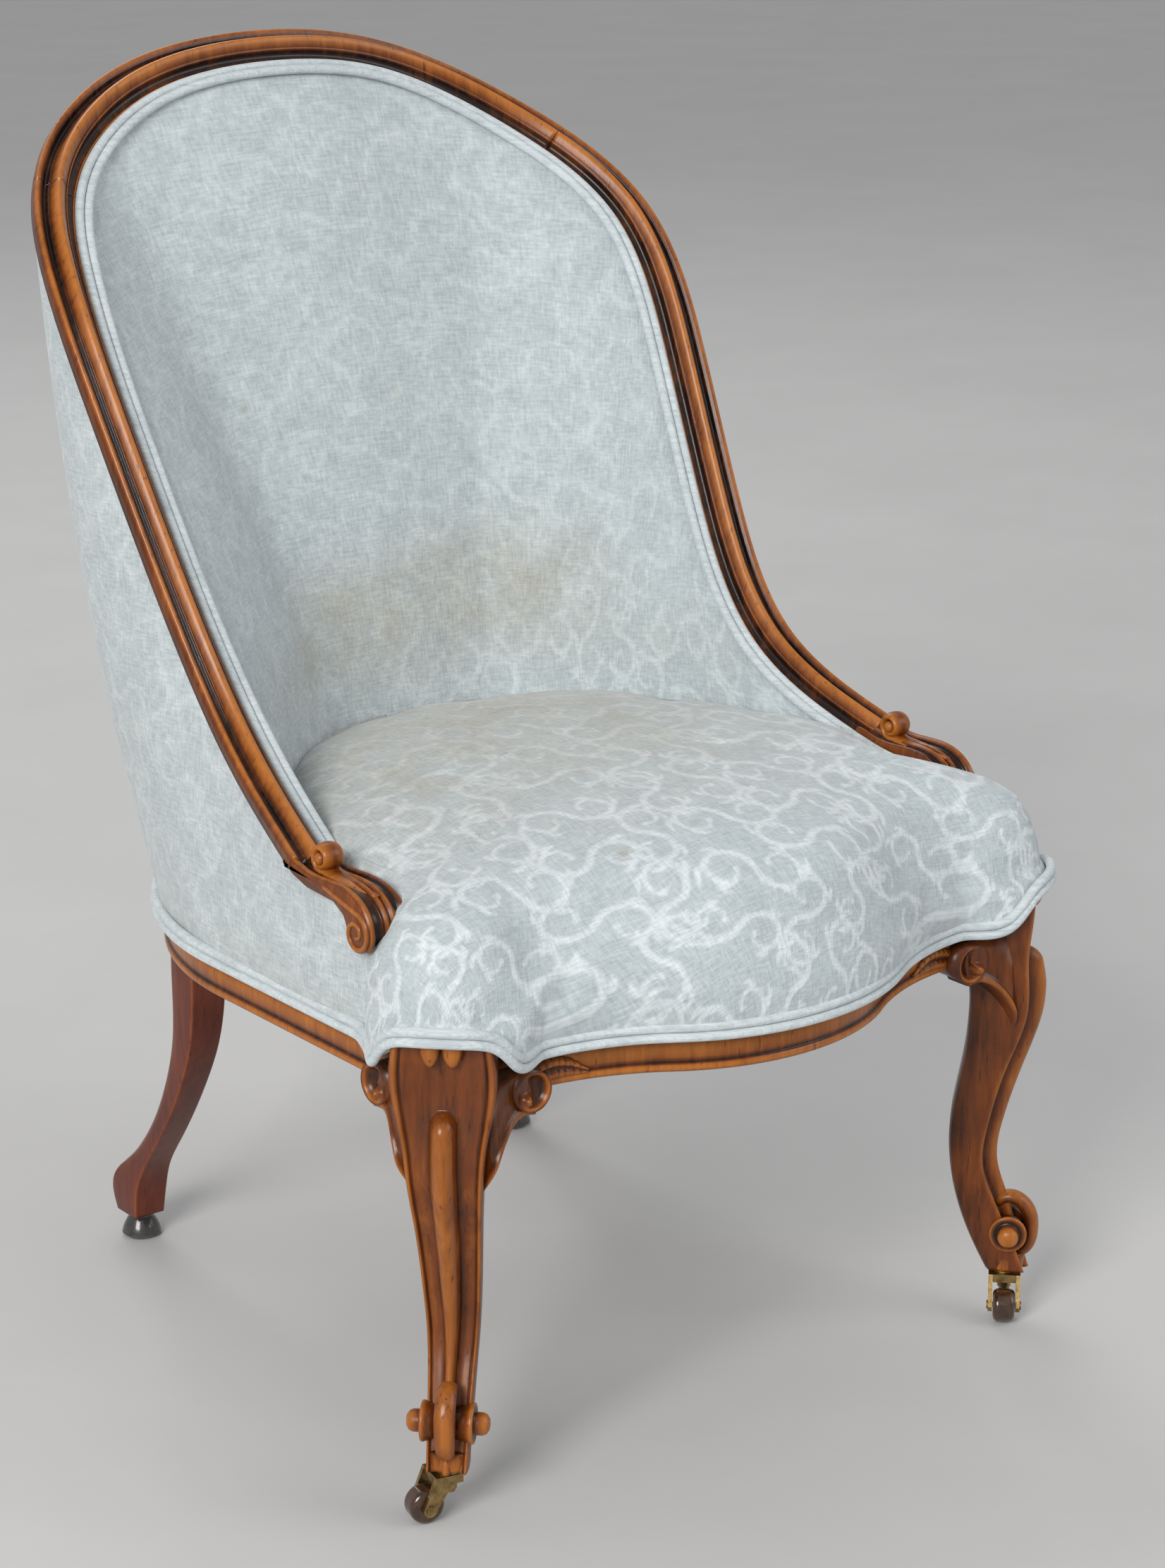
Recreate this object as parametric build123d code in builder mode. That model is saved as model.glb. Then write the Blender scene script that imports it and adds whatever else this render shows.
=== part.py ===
"""Spoon-back drawing-room chair with a sprung seat, on two front castors and two rear glides.

Millimetres. Z is up, the sitter faces -Y, and the chair is symmetric about X = 0 but for the
headings of its castors. Right-hand pieces are made first, at +X, and mirrored to the left.
"""
from math import acos, atan2, cos, degrees, hypot, radians, sin, sqrt
import os

from build123d import *

os.makedirs("parts", exist_ok=True)

# Clearances
FIT = 0.05  # running fit of a pin in its bore, on the radius
GAP = 0.3  # between soft pieces and what they lie against
SOFT_GAP = 0.5  # between two upholstered pieces

# Seat frame in plan: a bow front with hollows beside the legs, straight sides, a round back
SEAT_WIDTH = 500.0
FRONT_Y = -252.0
FRONT_BOW = 59.0
BOW_RADIUS = 165.0
HOLLOW_RADIUS = 185.0
REAR_CENTRE_Y = 15.0

# Seat rails: a moulded lip that shows below the cover, and a set-back face that it covers
RAIL_BOTTOM = 280.0
RAIL_HEIGHT = 55.0
RAIL_THICKNESS = 36.0
LIP_HEIGHT = 24.0
LIP_ROUND = 5.0
BEAD_HEIGHT = 6.0
BEAD_PROUD = 1.5
COVER_REBATE = 12.0
WEB_REBATE_DEPTH = 6.0
WEB_REBATE_WIDTH = 12.0
BACK_JOINT_ANGLE = 60.0
RAIL_END = 4.0  # from a rail's end to the corner inside the frame

# Front cabriole legs, set on the diagonal of the corner
LEG_X = 250.0
LEG_Y = -250.0
FOOT_BOTTOM = 36.0
KNEE_HEIGHT = 258.0
LEG_TOP = 330.0
RIDGE_WIDTH = 15.0
EDGE_STEP = 3.0
EDGE_DEPTH = 6.0
BACK_SHARE = 0.76
TOE_RADIUS = 20.0
TOE_WIDTH = 13.0
TOE_OUT = 9.0
TOE_HEIGHT = 68.0
TOE_ROUND = 6.0
EYE_OUT = 1.5
EYE_HEIGHT = 67.0
EYE_COLLAR_RADIUS = 13.0
EYE_COLLAR_WIDTH = 30.0
EYE_RADIUS = 7.5
EYE_SPAN = 55.0
LOBE_RADIUS = 7.0
LOBE_SPACING = 15.0
LOBE_RISE = 5.0

# Knee brackets, scrolled against the underside of the rails
BRACKET_X = 192.0
BRACKET_Z = 283.0
BRACKET_RADIUS = 13.0
BRACKET_DEPTH = 26.0

# Rear sabre legs
REAR_LEG_X = 178.0
REAR_LEG_Y = 160.0
REAR_LEG_CHAMFER = 6.0
TENON_RADIUS = 8.0
TENON_LENGTH = 36.0
GLIDE_RADIUS = 15.0
GLIDE_HEIGHT = 20.0
GLIDE_EDGE = 3.0
GLIDE_NECK_RADIUS = 9.0
GLIDE_NECK_HEIGHT = 4.0
GLIDE_NAIL_RADIUS = 2.0
GLIDE_NAIL_LENGTH = 20.0

# Hoop of the back: places on the main bead, from the right arm up to the middle of the crest
ARM_POINT = (248.0, -106.0, 413.0)
HOOP_POINTS = (
    ARM_POINT,
    (232.0, -1.0, 466.0),
    (237.0, 66.0, 557.0),
    (247.0, 121.0, 661.0),
    (246.0, 184.0, 758.0),
    (200.0, 264.0, 824.0),
    (115.0, 305.0, 870.0),
    (0.0, 307.0, 887.0),
)
FACE_LEAN = 64.0  # tilt of the moulded face of the crest, up from facing forwards
CREST_JOINT = 0.342  # share of the hoop, from the right arm, where crest and stile are jointed

# Moulding of the hoop, across it: n is out from the hoop, f is out of its face, 0 at the main bead
MOULD_OUT = 17.0
MOULD_IN = 13.5
MOULD_DEPTH = 24.0
MAIN_BEAD = 6.0
MAIN_BEAD_RISE = 5.0
INNER_FALL = 9.0
COVER_LEDGE = 6.5

# Arm terminals: a scroll under the end of each arm, and a small volute on top
ARM_WIDTH = 32.0
TERMINAL_FRONT = 84.0
TERMINAL_DROP = 46.0
VOLUTE_RADIUS = 8.5
VOLUTE_WIDTH = 22.0
VOLUTE_AHEAD = 20.0
VOLUTE_RISE = 2.0

# Inner frame of the back
POST_DEPTH = 30.0
POST_WIDTH = 20.0
POST_AHEAD = 28.0
UPRIGHT_WIDTH = 26.0
UPRIGHT_DEPTH = 12.0
UPRIGHT_ANGLE = 38.0
# Reach from the middle of the round back, and height
UPRIGHT_STATIONS = ((226.0, RAIL_BOTTOM + RAIL_HEIGHT), (250.0, 500.0), (299.5, 700.0), (304.0, 752.0))
BLOCK_BOTTOM = 290.0
BLOCK_HEIGHT = 36.0
BLOCK_REACH = 26.0
SCREW_RADIUS = 2.5
SCREW_HEAD_RADIUS = 5.0
SCREW_HEAD_THICKNESS = 3.0
SCREW_LENGTH = 62.0

# Castors
WHEEL_RADIUS = 12.0
WHEEL_WIDTH = 16.0
WHEEL_ROUND = 4.0
AXLE_RADIUS = 2.0
AXLE_HEAD_RADIUS = 3.2
AXLE_HEAD_THICKNESS = 1.0
TRAIL = 18.0
PINTLE_RADIUS = 2.5
PINTLE_LENGTH = 24.0
PLATE_RADIUS = 11.0
PLATE_THICKNESS = 2.0
BRIDGE_THICKNESS = 6.0
BRIDGE_NOSE = 4.0
CHEEK_THICKNESS = 3.0
CHEEK_END_RADIUS = 5.0
WHEEL_SIDE_GAP = 0.5
BOSS_RADIUS = 5.0
BOSS_DROP = 8.0
RIVET_RADIUS = 3.8
RIVET_THICKNESS = 2.0
LEFT_HEADING = 168.0
RIGHT_HEADING = 226.0

# Upholstery
WEB_WIDTH = 50.0
WEB_THICKNESS = 1.3
WEB_TACK = 5.5
WEB_PITCH = 80.0
WEBS_ALONG = 5
WEBS_ACROSS = 4
WEB_ACROSS_Y = -30.0
SPRING_TOP = 376.0
SPRING_RADIUS = 34.0
SPRING_WAIST = 22.0
SPRING_WIRE = 1.8
SPRING_EASE = 0.15
SPRING_TURNS = 4
HESSIAN_THICKNESS = 1.2
SEAT_TOP = 434.0
SEAT_CROWN_RADIUS = 1400.0
SEAT_CROWN_Y = -40.0
HEM = 304.0
HEM_PROUD = 7.0
SEAT_NECK_X = 198.0
SEAT_NECK_Y = -150.0
SEAT_BACK_X = 186.0
SEAT_BACK_Y = 136.0
SEAT_SQUEEZE = 0.15
CORNER_OUT = 13.0
CORNER_PULL = 1.45
SIDE_CREASE_Y = -205.0
SIDE_END_Y = -168.0
LEG_CLEAR_WIDTH = 78.0
LEG_CLEAR_DEPTH = 110.0
# Height and inset of the seat's bulging side
CUSHION_STATIONS = (
    (304.0, -7.0), (322.0, -10.0), (345.0, -11.0), (375.0, -4.0), (400.0, 10.0), (420.0, 30.0), (436.0, 52.0),
)
PAD_START = 0.004
PAD_FRONT = (231.0, -150.0, 388.0)
PAD_FOOT = 345.0
PAD_FOOT_DEPTH = 40.0
PAD_CROWN = 14.0
PAD_SQUEEZE = 0.17
PAD_TUCK = 14.0
PAD_LIP = 13.0
PAD_DROP = 46.0
COVER_THICKNESS = 3.0
COVER_BULGE = 10.0
COVER_INSET = 3.0
COVER_DROP = 20.0
PIPE_RADIUS = 3.2
HEM_PIPE_HEIGHT = 13.0
HEM_PIPE_DEPTH = 7.0
CLOTH_THICKNESS = 0.8
# Places along the top of the outside cover, below the right arm terminal
COVER_FRONT = ((255.0, -160.0, 364.0), (257.0, -136.0, 374.0), (259.0, -98.0, 388.0))
COVER_START = 0.026
PIPE_START = 0.012
PIPE_N = -18.2
PIPE_F = -12.0
# Where the hem's two cords arch over a front leg: across the leg, out from it, height
ARCH = ((-54.0, -35.0, 310.7), (-46.5, -8.0, 315.0), (-34.5, 8.5, 336.5), (0.0, 21.0, 339.0))
ARCH_CENTRE = 29.0
BAND_CLEAR_WIDTH = 114.0
SPRING_PLACES = ((0.0, -45.0), (92.0, -115.0), (-92.0, -115.0), (92.0, 25.0), (-92.0, 25.0))

HALF_WIDTH = SEAT_WIDTH / 2
RAIL_TOP = RAIL_BOTTOM + RAIL_HEIGHT
BOW_TURN = degrees(acos(1 - FRONT_BOW / (BOW_RADIUS + HOLLOW_RADIUS)))
HOLLOW_END_X = (BOW_RADIUS + HOLLOW_RADIUS) * sin(radians(BOW_TURN))
BOW_CENTRE_Y = FRONT_Y - FRONT_BOW + BOW_RADIUS
HOLLOW_CENTRE_Y = FRONT_Y - HOLLOW_RADIUS
DIAGONAL = Vector(1, -1, 0).normalized()
ACROSS = Vector(1, 1, 0).normalized()
HESSIAN_TOP = SPRING_TOP + HESSIAN_THICKNESS
inner_x = HALF_WIDTH - RAIL_THICKNESS
inner_y = FRONT_Y + RAIL_THICKNESS
screw_plane = Plane(
    origin=Vector(inner_x, inner_y, BLOCK_BOTTOM + BLOCK_HEIGHT / 2) - DIAGONAL * BLOCK_REACH / sqrt(2),
    x_dir=ACROSS, z_dir=DIAGONAL,
)


def keep(piece, label):
    """Label a finished piece and write it."""
    piece.label = label
    export_step(piece, f"parts/{label}.step")


def keep_pair(piece, label):
    """Write a right-hand piece and its mirror image."""
    with BuildPart() as left:
        mirror(piece, about=Plane.YZ)
    keep(piece, f"right_{label}")
    keep(left.part, f"left_{label}")
    return left.part


def seat_plan(inset, level):
    """Plan of the seat frame, drawn in from its outer face."""
    half = HALF_WIDTH - inset
    front = FRONT_Y + inset
    with BuildSketch(Plane.XY.offset(level)) as plan:
        with BuildLine():
            CenterArc((0, BOW_CENTRE_Y), BOW_RADIUS - inset, 270, BOW_TURN)
            CenterArc((HOLLOW_END_X, HOLLOW_CENTRE_Y), HOLLOW_RADIUS + inset, 90 + BOW_TURN, -BOW_TURN)
            Line((HOLLOW_END_X, front), (half, front))
            Line((half, front), (half, REAR_CENTRE_Y))
            CenterArc((0, REAR_CENTRE_Y), half, 0, 90)
            mirror(about=Plane.YZ)
        make_face()
    return plan.sketch


# Front legs

# Height, back of the leg, its front face, its ridge and its width, out along the diagonal
LEG_STATIONS = (
    (FOOT_BOTTOM, -14.0, 13.0, 17.0, 27.0),
    (52.0, -22.0, 7.0, 12.0, 28.0),
    (68.0, -29.0, 0.0, 7.0, 29.0),
    (92.0, -37.0, -10.0, 0.0, 31.0),
    (118.0, -42.0, -19.0, -8.0, 34.0),
    (150.0, -43.0, -17.0, -5.0, 38.0),
    (200.0, -35.0, -4.0, 10.0, 45.0),
    (238.0, -32.0, 8.0, 21.0, 52.0),
    (KNEE_HEIGHT, -33.0, 9.0, 22.0, 58.0),
)
# Height, back, front face and width of the block above the knee
BLOCK_STATIONS = (
    (KNEE_HEIGHT, -33.0, 9.0, 58.0),
    (RAIL_BOTTOM + 4.0, -40.0, 8.0, 70.0),
    (LEG_TOP, -44.0, 12.0, 66.0),
)


def leg_plane(level):
    """Level plane on the leg's axis: x across the diagonal, y out along it."""
    return Plane(origin=(LEG_X, LEG_Y, level), x_dir=ACROSS, z_dir=Vector(0, 0, -1))


def leg_outline(back, front, width, ridge=None):
    """Closed outline of a leg section, with its ridge where there is one."""
    half = width / 2
    back_half = half * BACK_SHARE
    edge = half - EDGE_STEP
    with BuildLine() as outline:
        Line((-back_half, back), (back_half, back))
        Line((back_half, back), (half, front - EDGE_DEPTH))
        Line((half, front - EDGE_DEPTH), (edge, front))
        if ridge is None:
            Line((edge, front), (-edge, front))
        else:
            base = RIDGE_WIDTH / 2
            Line((edge, front), (base, front))
            ThreePointArc((base, front), (0, ridge), (-base, front))
            Line((-base, front), (-edge, front))
        Line((-edge, front), (-half, front - EDGE_DEPTH))
        Line((-half, front - EDGE_DEPTH), (-back_half, back))
    return outline.line


ridge_top = Vector(LEG_X, LEG_Y, KNEE_HEIGHT) + DIAGONAL * (LEG_STATIONS[-1][3] - RIDGE_WIDTH / 2)
toe_plane = Plane(
    origin=Vector(LEG_X, LEG_Y, TOE_HEIGHT) + DIAGONAL * TOE_OUT, x_dir=DIAGONAL, z_dir=ACROSS
)
eye_plane = Plane(
    origin=Vector(LEG_X, LEG_Y, EYE_HEIGHT) + DIAGONAL * EYE_OUT, x_dir=DIAGONAL, z_dir=ACROSS
)
lobe_plane = Plane(
    origin=Vector(LEG_X, LEG_Y, LEG_TOP) + DIAGONAL * BLOCK_STATIONS[-1][2], x_dir=ACROSS, z_dir=DIAGONAL
)

with BuildPart() as toe_disc:
    with BuildSketch(toe_plane):
        Circle(TOE_RADIUS)
    extrude(amount=TOE_WIDTH / 2, both=True)
    fillet(toe_disc.edges().filter_by(GeomType.CIRCLE), TOE_ROUND)

with BuildPart() as right_front_leg:
    for height, back, front, ridge, width in LEG_STATIONS:
        with BuildSketch(leg_plane(height)):
            add(leg_outline(back, front, width, ridge))
            make_face()
    loft()
    for height, back, front, width in BLOCK_STATIONS:
        with BuildSketch(leg_plane(height)):
            add(leg_outline(back, front, width))
            make_face()
    loft()
    with Locations(ridge_top):
        Sphere(RIDGE_WIDTH / 2)
    add(toe_disc.part)
    with BuildSketch(eye_plane):
        Circle(EYE_COLLAR_RADIUS)
    extrude(amount=EYE_COLLAR_WIDTH / 2, both=True)
    with BuildSketch(eye_plane):
        Circle(EYE_RADIUS)
    extrude(amount=EYE_SPAN / 2 - EYE_RADIUS, both=True)
    for side in (-1, 1):
        with Locations(eye_plane.origin + ACROSS * side * (EYE_SPAN / 2 - EYE_RADIUS)):
            Sphere(EYE_RADIUS)
    with BuildSketch(lobe_plane):
        with GridLocations(LOBE_SPACING, 0, 2, 1):
            Circle(LOBE_RADIUS)
    extrude(amount=LOBE_RISE, both=True)
    with BuildSketch(leg_plane(LEG_TOP)):
        Rectangle(EYE_SPAN * 2, EYE_SPAN * 2)
    extrude(amount=-LOBE_RADIUS * 2, mode=Mode.SUBTRACT)
    with BuildSketch(Plane.XY.offset(FOOT_BOTTOM)):
        with Locations((LEG_X, LEG_Y)):
            Circle(PINTLE_RADIUS)
    extrude(amount=PINTLE_LENGTH, mode=Mode.SUBTRACT)
    with BuildSketch(screw_plane):
        Circle(SCREW_RADIUS)
    extrude(amount=SCREW_LENGTH, mode=Mode.SUBTRACT)

# Rear legs

# Height, place along Y, depth and width of the rear leg
REAR_STATIONS = (
    (RAIL_BOTTOM, 0.0, 34.0, 30.0),
    (240.0, 1.0, 34.0, 30.0),
    (184.0, 8.0, 29.0, 27.0),
    (150.0, 22.0, 25.0, 25.0),
    (118.0, 40.0, 22.0, 24.0),
    (90.0, 60.0, 22.0, 24.0),
    (66.0, 80.0, 27.0, 25.0),
    (46.0, 93.0, 34.0, 28.0),
    (GLIDE_HEIGHT, 94.0, 27.0, 26.0),
)
GLIDE_Y = REAR_LEG_Y + REAR_STATIONS[-1][1]
HEEL_CHAMFER = 1.0

with BuildPart() as right_rear_leg:
    for height, back, depth, width in REAR_STATIONS:
        cut = HEEL_CHAMFER if height < REAR_STATIONS[-3][0] else REAR_LEG_CHAMFER
        with BuildSketch(Plane.XY.offset(height)):
            with Locations((REAR_LEG_X, REAR_LEG_Y + back)):
                Polygon(
                    (-width / 2, -depth / 2),
                    (width / 2, -depth / 2),
                    (width / 2, depth / 2 - cut),
                    (width / 2 - cut, depth / 2),
                    (-width / 2, depth / 2),
                    align=None,
                )
    loft()
    with BuildSketch(Plane.XY.offset(RAIL_BOTTOM)):
        with Locations((REAR_LEG_X, REAR_LEG_Y)):
            Circle(TENON_RADIUS)
    extrude(amount=TENON_LENGTH)
    with BuildSketch(Plane.XY.offset(GLIDE_HEIGHT)):
        with Locations((REAR_LEG_X, GLIDE_Y)):
            Circle(GLIDE_NAIL_RADIUS)
    extrude(amount=GLIDE_NAIL_LENGTH, mode=Mode.SUBTRACT)

with BuildPart() as right_rear_glide:
    with BuildSketch(Plane(origin=(REAR_LEG_X, GLIDE_Y, 0), x_dir=(1, 0, 0), z_dir=(0, -1, 0))):
        with BuildLine():
            Polyline((0, 0), (GLIDE_RADIUS - GLIDE_EDGE, 0), (GLIDE_RADIUS, GLIDE_EDGE))
            ThreePointArc(
                (GLIDE_RADIUS, GLIDE_EDGE),
                (GLIDE_RADIUS - GLIDE_EDGE, (GLIDE_HEIGHT - GLIDE_NECK_HEIGHT) * 0.7),
                (GLIDE_NECK_RADIUS, GLIDE_HEIGHT - GLIDE_NECK_HEIGHT),
            )
            Polyline(
                (GLIDE_NECK_RADIUS, GLIDE_HEIGHT - GLIDE_NECK_HEIGHT),
                (GLIDE_NECK_RADIUS, GLIDE_HEIGHT),
                (GLIDE_NAIL_RADIUS, GLIDE_HEIGHT),
                (GLIDE_NAIL_RADIUS, GLIDE_HEIGHT + GLIDE_NAIL_LENGTH),
                (0, GLIDE_HEIGHT + GLIDE_NAIL_LENGTH),
                (0, 0),
            )
        make_face()
    revolve(axis=Axis((REAR_LEG_X, GLIDE_Y, 0), (0, 0, 1)))

# Hoop of the back

left_points = [(-x, y, z) for x, y, z in reversed(HOOP_POINTS[:-1])]
with BuildLine() as hoop_line:
    Spline(*HOOP_POINTS, *left_points)
hoop = hoop_line.edges()[0]
FACE = Vector(0, -cos(radians(FACE_LEAN)), sin(radians(FACE_LEAN)))


def hoop_plane(share):
    """Plane across the hoop: x out from it, y out of its moulded face."""
    along = hoop.tangent_at(share)
    face = (FACE - along * FACE.dot(along)).normalized()
    outward = along.cross(face)
    return Plane(origin=hoop.position_at(share), x_dir=outward, z_dir=outward.cross(face))


def moulding():
    """Closed outline of the hoop's section."""
    with BuildLine() as outline:
        Line((MOULD_OUT, -INNER_FALL), (MOULD_OUT, -1.5))
        ThreePointArc((MOULD_OUT, -1.5), (MOULD_OUT - 1.8, 1.6), (MOULD_OUT - 4.5, -0.5))
        ThreePointArc((MOULD_OUT - 4.5, -0.5), ((MOULD_OUT - 4.5 + MAIN_BEAD) / 2, -4.0), (MAIN_BEAD, -1.0))
        ThreePointArc((MAIN_BEAD, -1.0), (0, MAIN_BEAD_RISE), (-MAIN_BEAD, -1.0))
        Line((-MAIN_BEAD, -1.0), (-MAIN_BEAD - 1, -3.5))
        ThreePointArc((-MAIN_BEAD - 1, -3.5), (-MAIN_BEAD - 2, -7.0), (2 - MOULD_IN, 0.5 - INNER_FALL))
        Line((2 - MOULD_IN, 0.5 - INNER_FALL), (-MOULD_IN, -INNER_FALL))
        Line((-MOULD_IN, -INNER_FALL), (-MOULD_IN, 2 - MOULD_DEPTH))
        Line((-MOULD_IN, 2 - MOULD_DEPTH), (3, -MOULD_DEPTH))
        Line((3, -MOULD_DEPTH), (MOULD_OUT - COVER_LEDGE, -0.5 - INNER_FALL))
        Line((MOULD_OUT - COVER_LEDGE, -0.5 - INNER_FALL), (MOULD_OUT, -INNER_FALL))
    return outline.line


def hoop_stretch(start, end, count):
    """Shares of the hoop, evenly spaced from start to end."""
    return [start + (end - start) * i / (count - 1) for i in range(count)]


with BuildPart() as crest_rail:
    for share in hoop_stretch(CREST_JOINT, 1 - CREST_JOINT, 9):
        with BuildSketch(hoop_plane(share)):
            add(moulding())
            make_face()
    loft()

arm = Vector(*ARM_POINT)
with BuildPart() as terminal:
    with BuildSketch(Plane.YZ.offset(arm.X - ARM_WIDTH / 2)):
        with BuildLine():
            Line((arm.Y + 10, arm.Z - 20), (arm.Y + 6, arm.Z + 3))
            ThreePointArc((arm.Y + 6, arm.Z + 3), (arm.Y - 20, arm.Z - 4), (arm.Y - 46, arm.Z - 4))
            ThreePointArc(
                (arm.Y - 46, arm.Z - 4),
                (arm.Y - TERMINAL_FRONT + 13, arm.Z - 8),
                (arm.Y - TERMINAL_FRONT, arm.Z - 24),
            )
            ThreePointArc(
                (arm.Y - TERMINAL_FRONT, arm.Z - 24),
                (arm.Y - TERMINAL_FRONT + 20, arm.Z - TERMINAL_DROP),
                (arm.Y - 46, arm.Z - 36),
            )
            Line((arm.Y - 46, arm.Z - 36), (arm.Y + 10, arm.Z - 20))
        make_face()
    extrude(amount=ARM_WIDTH)

with BuildPart() as right_stile:
    for share in hoop_stretch(0, CREST_JOINT, 9):
        with BuildSketch(hoop_plane(share)):
            add(moulding())
            make_face()
    loft()
    add(terminal.part)
    with BuildSketch(Plane.YZ.offset(arm.X - VOLUTE_WIDTH / 2)):
        with Locations((arm.Y - VOLUTE_AHEAD, arm.Z + VOLUTE_RISE)):
            Circle(VOLUTE_RADIUS)
    extrude(amount=VOLUTE_WIDTH)

# Seat rails

with BuildPart() as seat_frame:
    extrude(seat_plan(0, RAIL_BOTTOM), BEAD_HEIGHT)
    extrude(seat_plan(BEAD_PROUD, RAIL_BOTTOM + BEAD_HEIGHT), LIP_HEIGHT - BEAD_HEIGHT)
    ledge = seat_frame.faces().sort_by(Axis.Z)[-1]
    fillet(ledge.outer_wire().edges(), LIP_ROUND)
    foot = seat_frame.faces().sort_by(Axis.Z)[0]
    fillet(foot.outer_wire().edges(), BEAD_HEIGHT / 3)
    extrude(seat_plan(COVER_REBATE, RAIL_BOTTOM + LIP_HEIGHT), RAIL_HEIGHT - LIP_HEIGHT)
    extrude(seat_plan(RAIL_THICKNESS, RAIL_BOTTOM), RAIL_HEIGHT, mode=Mode.SUBTRACT)
    extrude(
        seat_plan(RAIL_THICKNESS - WEB_REBATE_WIDTH, RAIL_BOTTOM), WEB_REBATE_DEPTH, mode=Mode.SUBTRACT
    )

joint_x = SEAT_WIDTH * cos(radians(BACK_JOINT_ANGLE))
joint_y = REAR_CENTRE_Y + SEAT_WIDTH * sin(radians(BACK_JOINT_ANGLE))

with BuildPart() as left_front_leg:
    mirror(right_front_leg.part, about=Plane.YZ)

with BuildPart() as front_rail:
    add(seat_frame.part)
    with BuildSketch(Plane.XY.offset(RAIL_BOTTOM)):
        with Locations((0, -SEAT_WIDTH)):
            Rectangle(2 * (inner_x - RAIL_END), 2 * SEAT_WIDTH)
    extrude(amount=RAIL_HEIGHT, mode=Mode.INTERSECT)
    add(right_front_leg.part, mode=Mode.SUBTRACT)
    add(left_front_leg.part, mode=Mode.SUBTRACT)

with BuildPart() as right_side_rail:
    add(seat_frame.part)
    with BuildSketch(Plane.XY.offset(RAIL_BOTTOM)):
        Polygon(
            (0, REAR_CENTRE_Y), (0, inner_y + RAIL_END), (SEAT_WIDTH, inner_y + RAIL_END),
            (SEAT_WIDTH, joint_y), (joint_x, joint_y), align=None,
        )
    extrude(amount=RAIL_HEIGHT, mode=Mode.INTERSECT)
    add(right_front_leg.part, mode=Mode.SUBTRACT)
    add(right_rear_leg.part, mode=Mode.SUBTRACT)

with BuildPart() as back_rail:
    add(seat_frame.part)
    with BuildSketch(Plane.XY.offset(RAIL_BOTTOM)):
        Polygon((0, REAR_CENTRE_Y), (joint_x, joint_y), (-joint_x, joint_y), align=None)
    extrude(amount=RAIL_HEIGHT, mode=Mode.INTERSECT)

# Knee brackets

with BuildPart() as bracket_blank:
    with BuildSketch(Plane.XZ.offset(-FRONT_Y - BRACKET_DEPTH / 2)):
        with Locations((BRACKET_X, BRACKET_Z)):
            Circle(BRACKET_RADIUS)
        Polygon(
            (BRACKET_X, BRACKET_Z + BRACKET_RADIUS),
            (LEG_X - EYE_RADIUS, BRACKET_Z + BRACKET_RADIUS),
            (LEG_X - EYE_RADIUS, KNEE_HEIGHT),
            (BRACKET_X + BRACKET_RADIUS, BRACKET_Z - BRACKET_RADIUS / 2),
            align=None,
        )
    extrude(amount=BRACKET_DEPTH)

with BuildPart() as right_front_bracket:
    add(bracket_blank.part)
    add(front_rail.part, mode=Mode.SUBTRACT)
    add(right_front_leg.part, mode=Mode.SUBTRACT)

with BuildPart() as right_side_bracket:
    mirror(bracket_blank.part, about=Plane(origin=(LEG_X, LEG_Y, 0), z_dir=ACROSS))
    add(right_side_rail.part, mode=Mode.SUBTRACT)
    add(right_front_leg.part, mode=Mode.SUBTRACT)

# Castors

BRIDGE_TOP = FOOT_BOTTOM - PLATE_THICKNESS - GAP
BRIDGE_BOTTOM = BRIDGE_TOP - BRIDGE_THICKNESS
FORK_HALF = WHEEL_WIDTH / 2 + WHEEL_SIDE_GAP
FORK_OUTER = FORK_HALF + CHEEK_THICKNESS
BOSS_BOTTOM = BRIDGE_BOTTOM - BOSS_DROP


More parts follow.
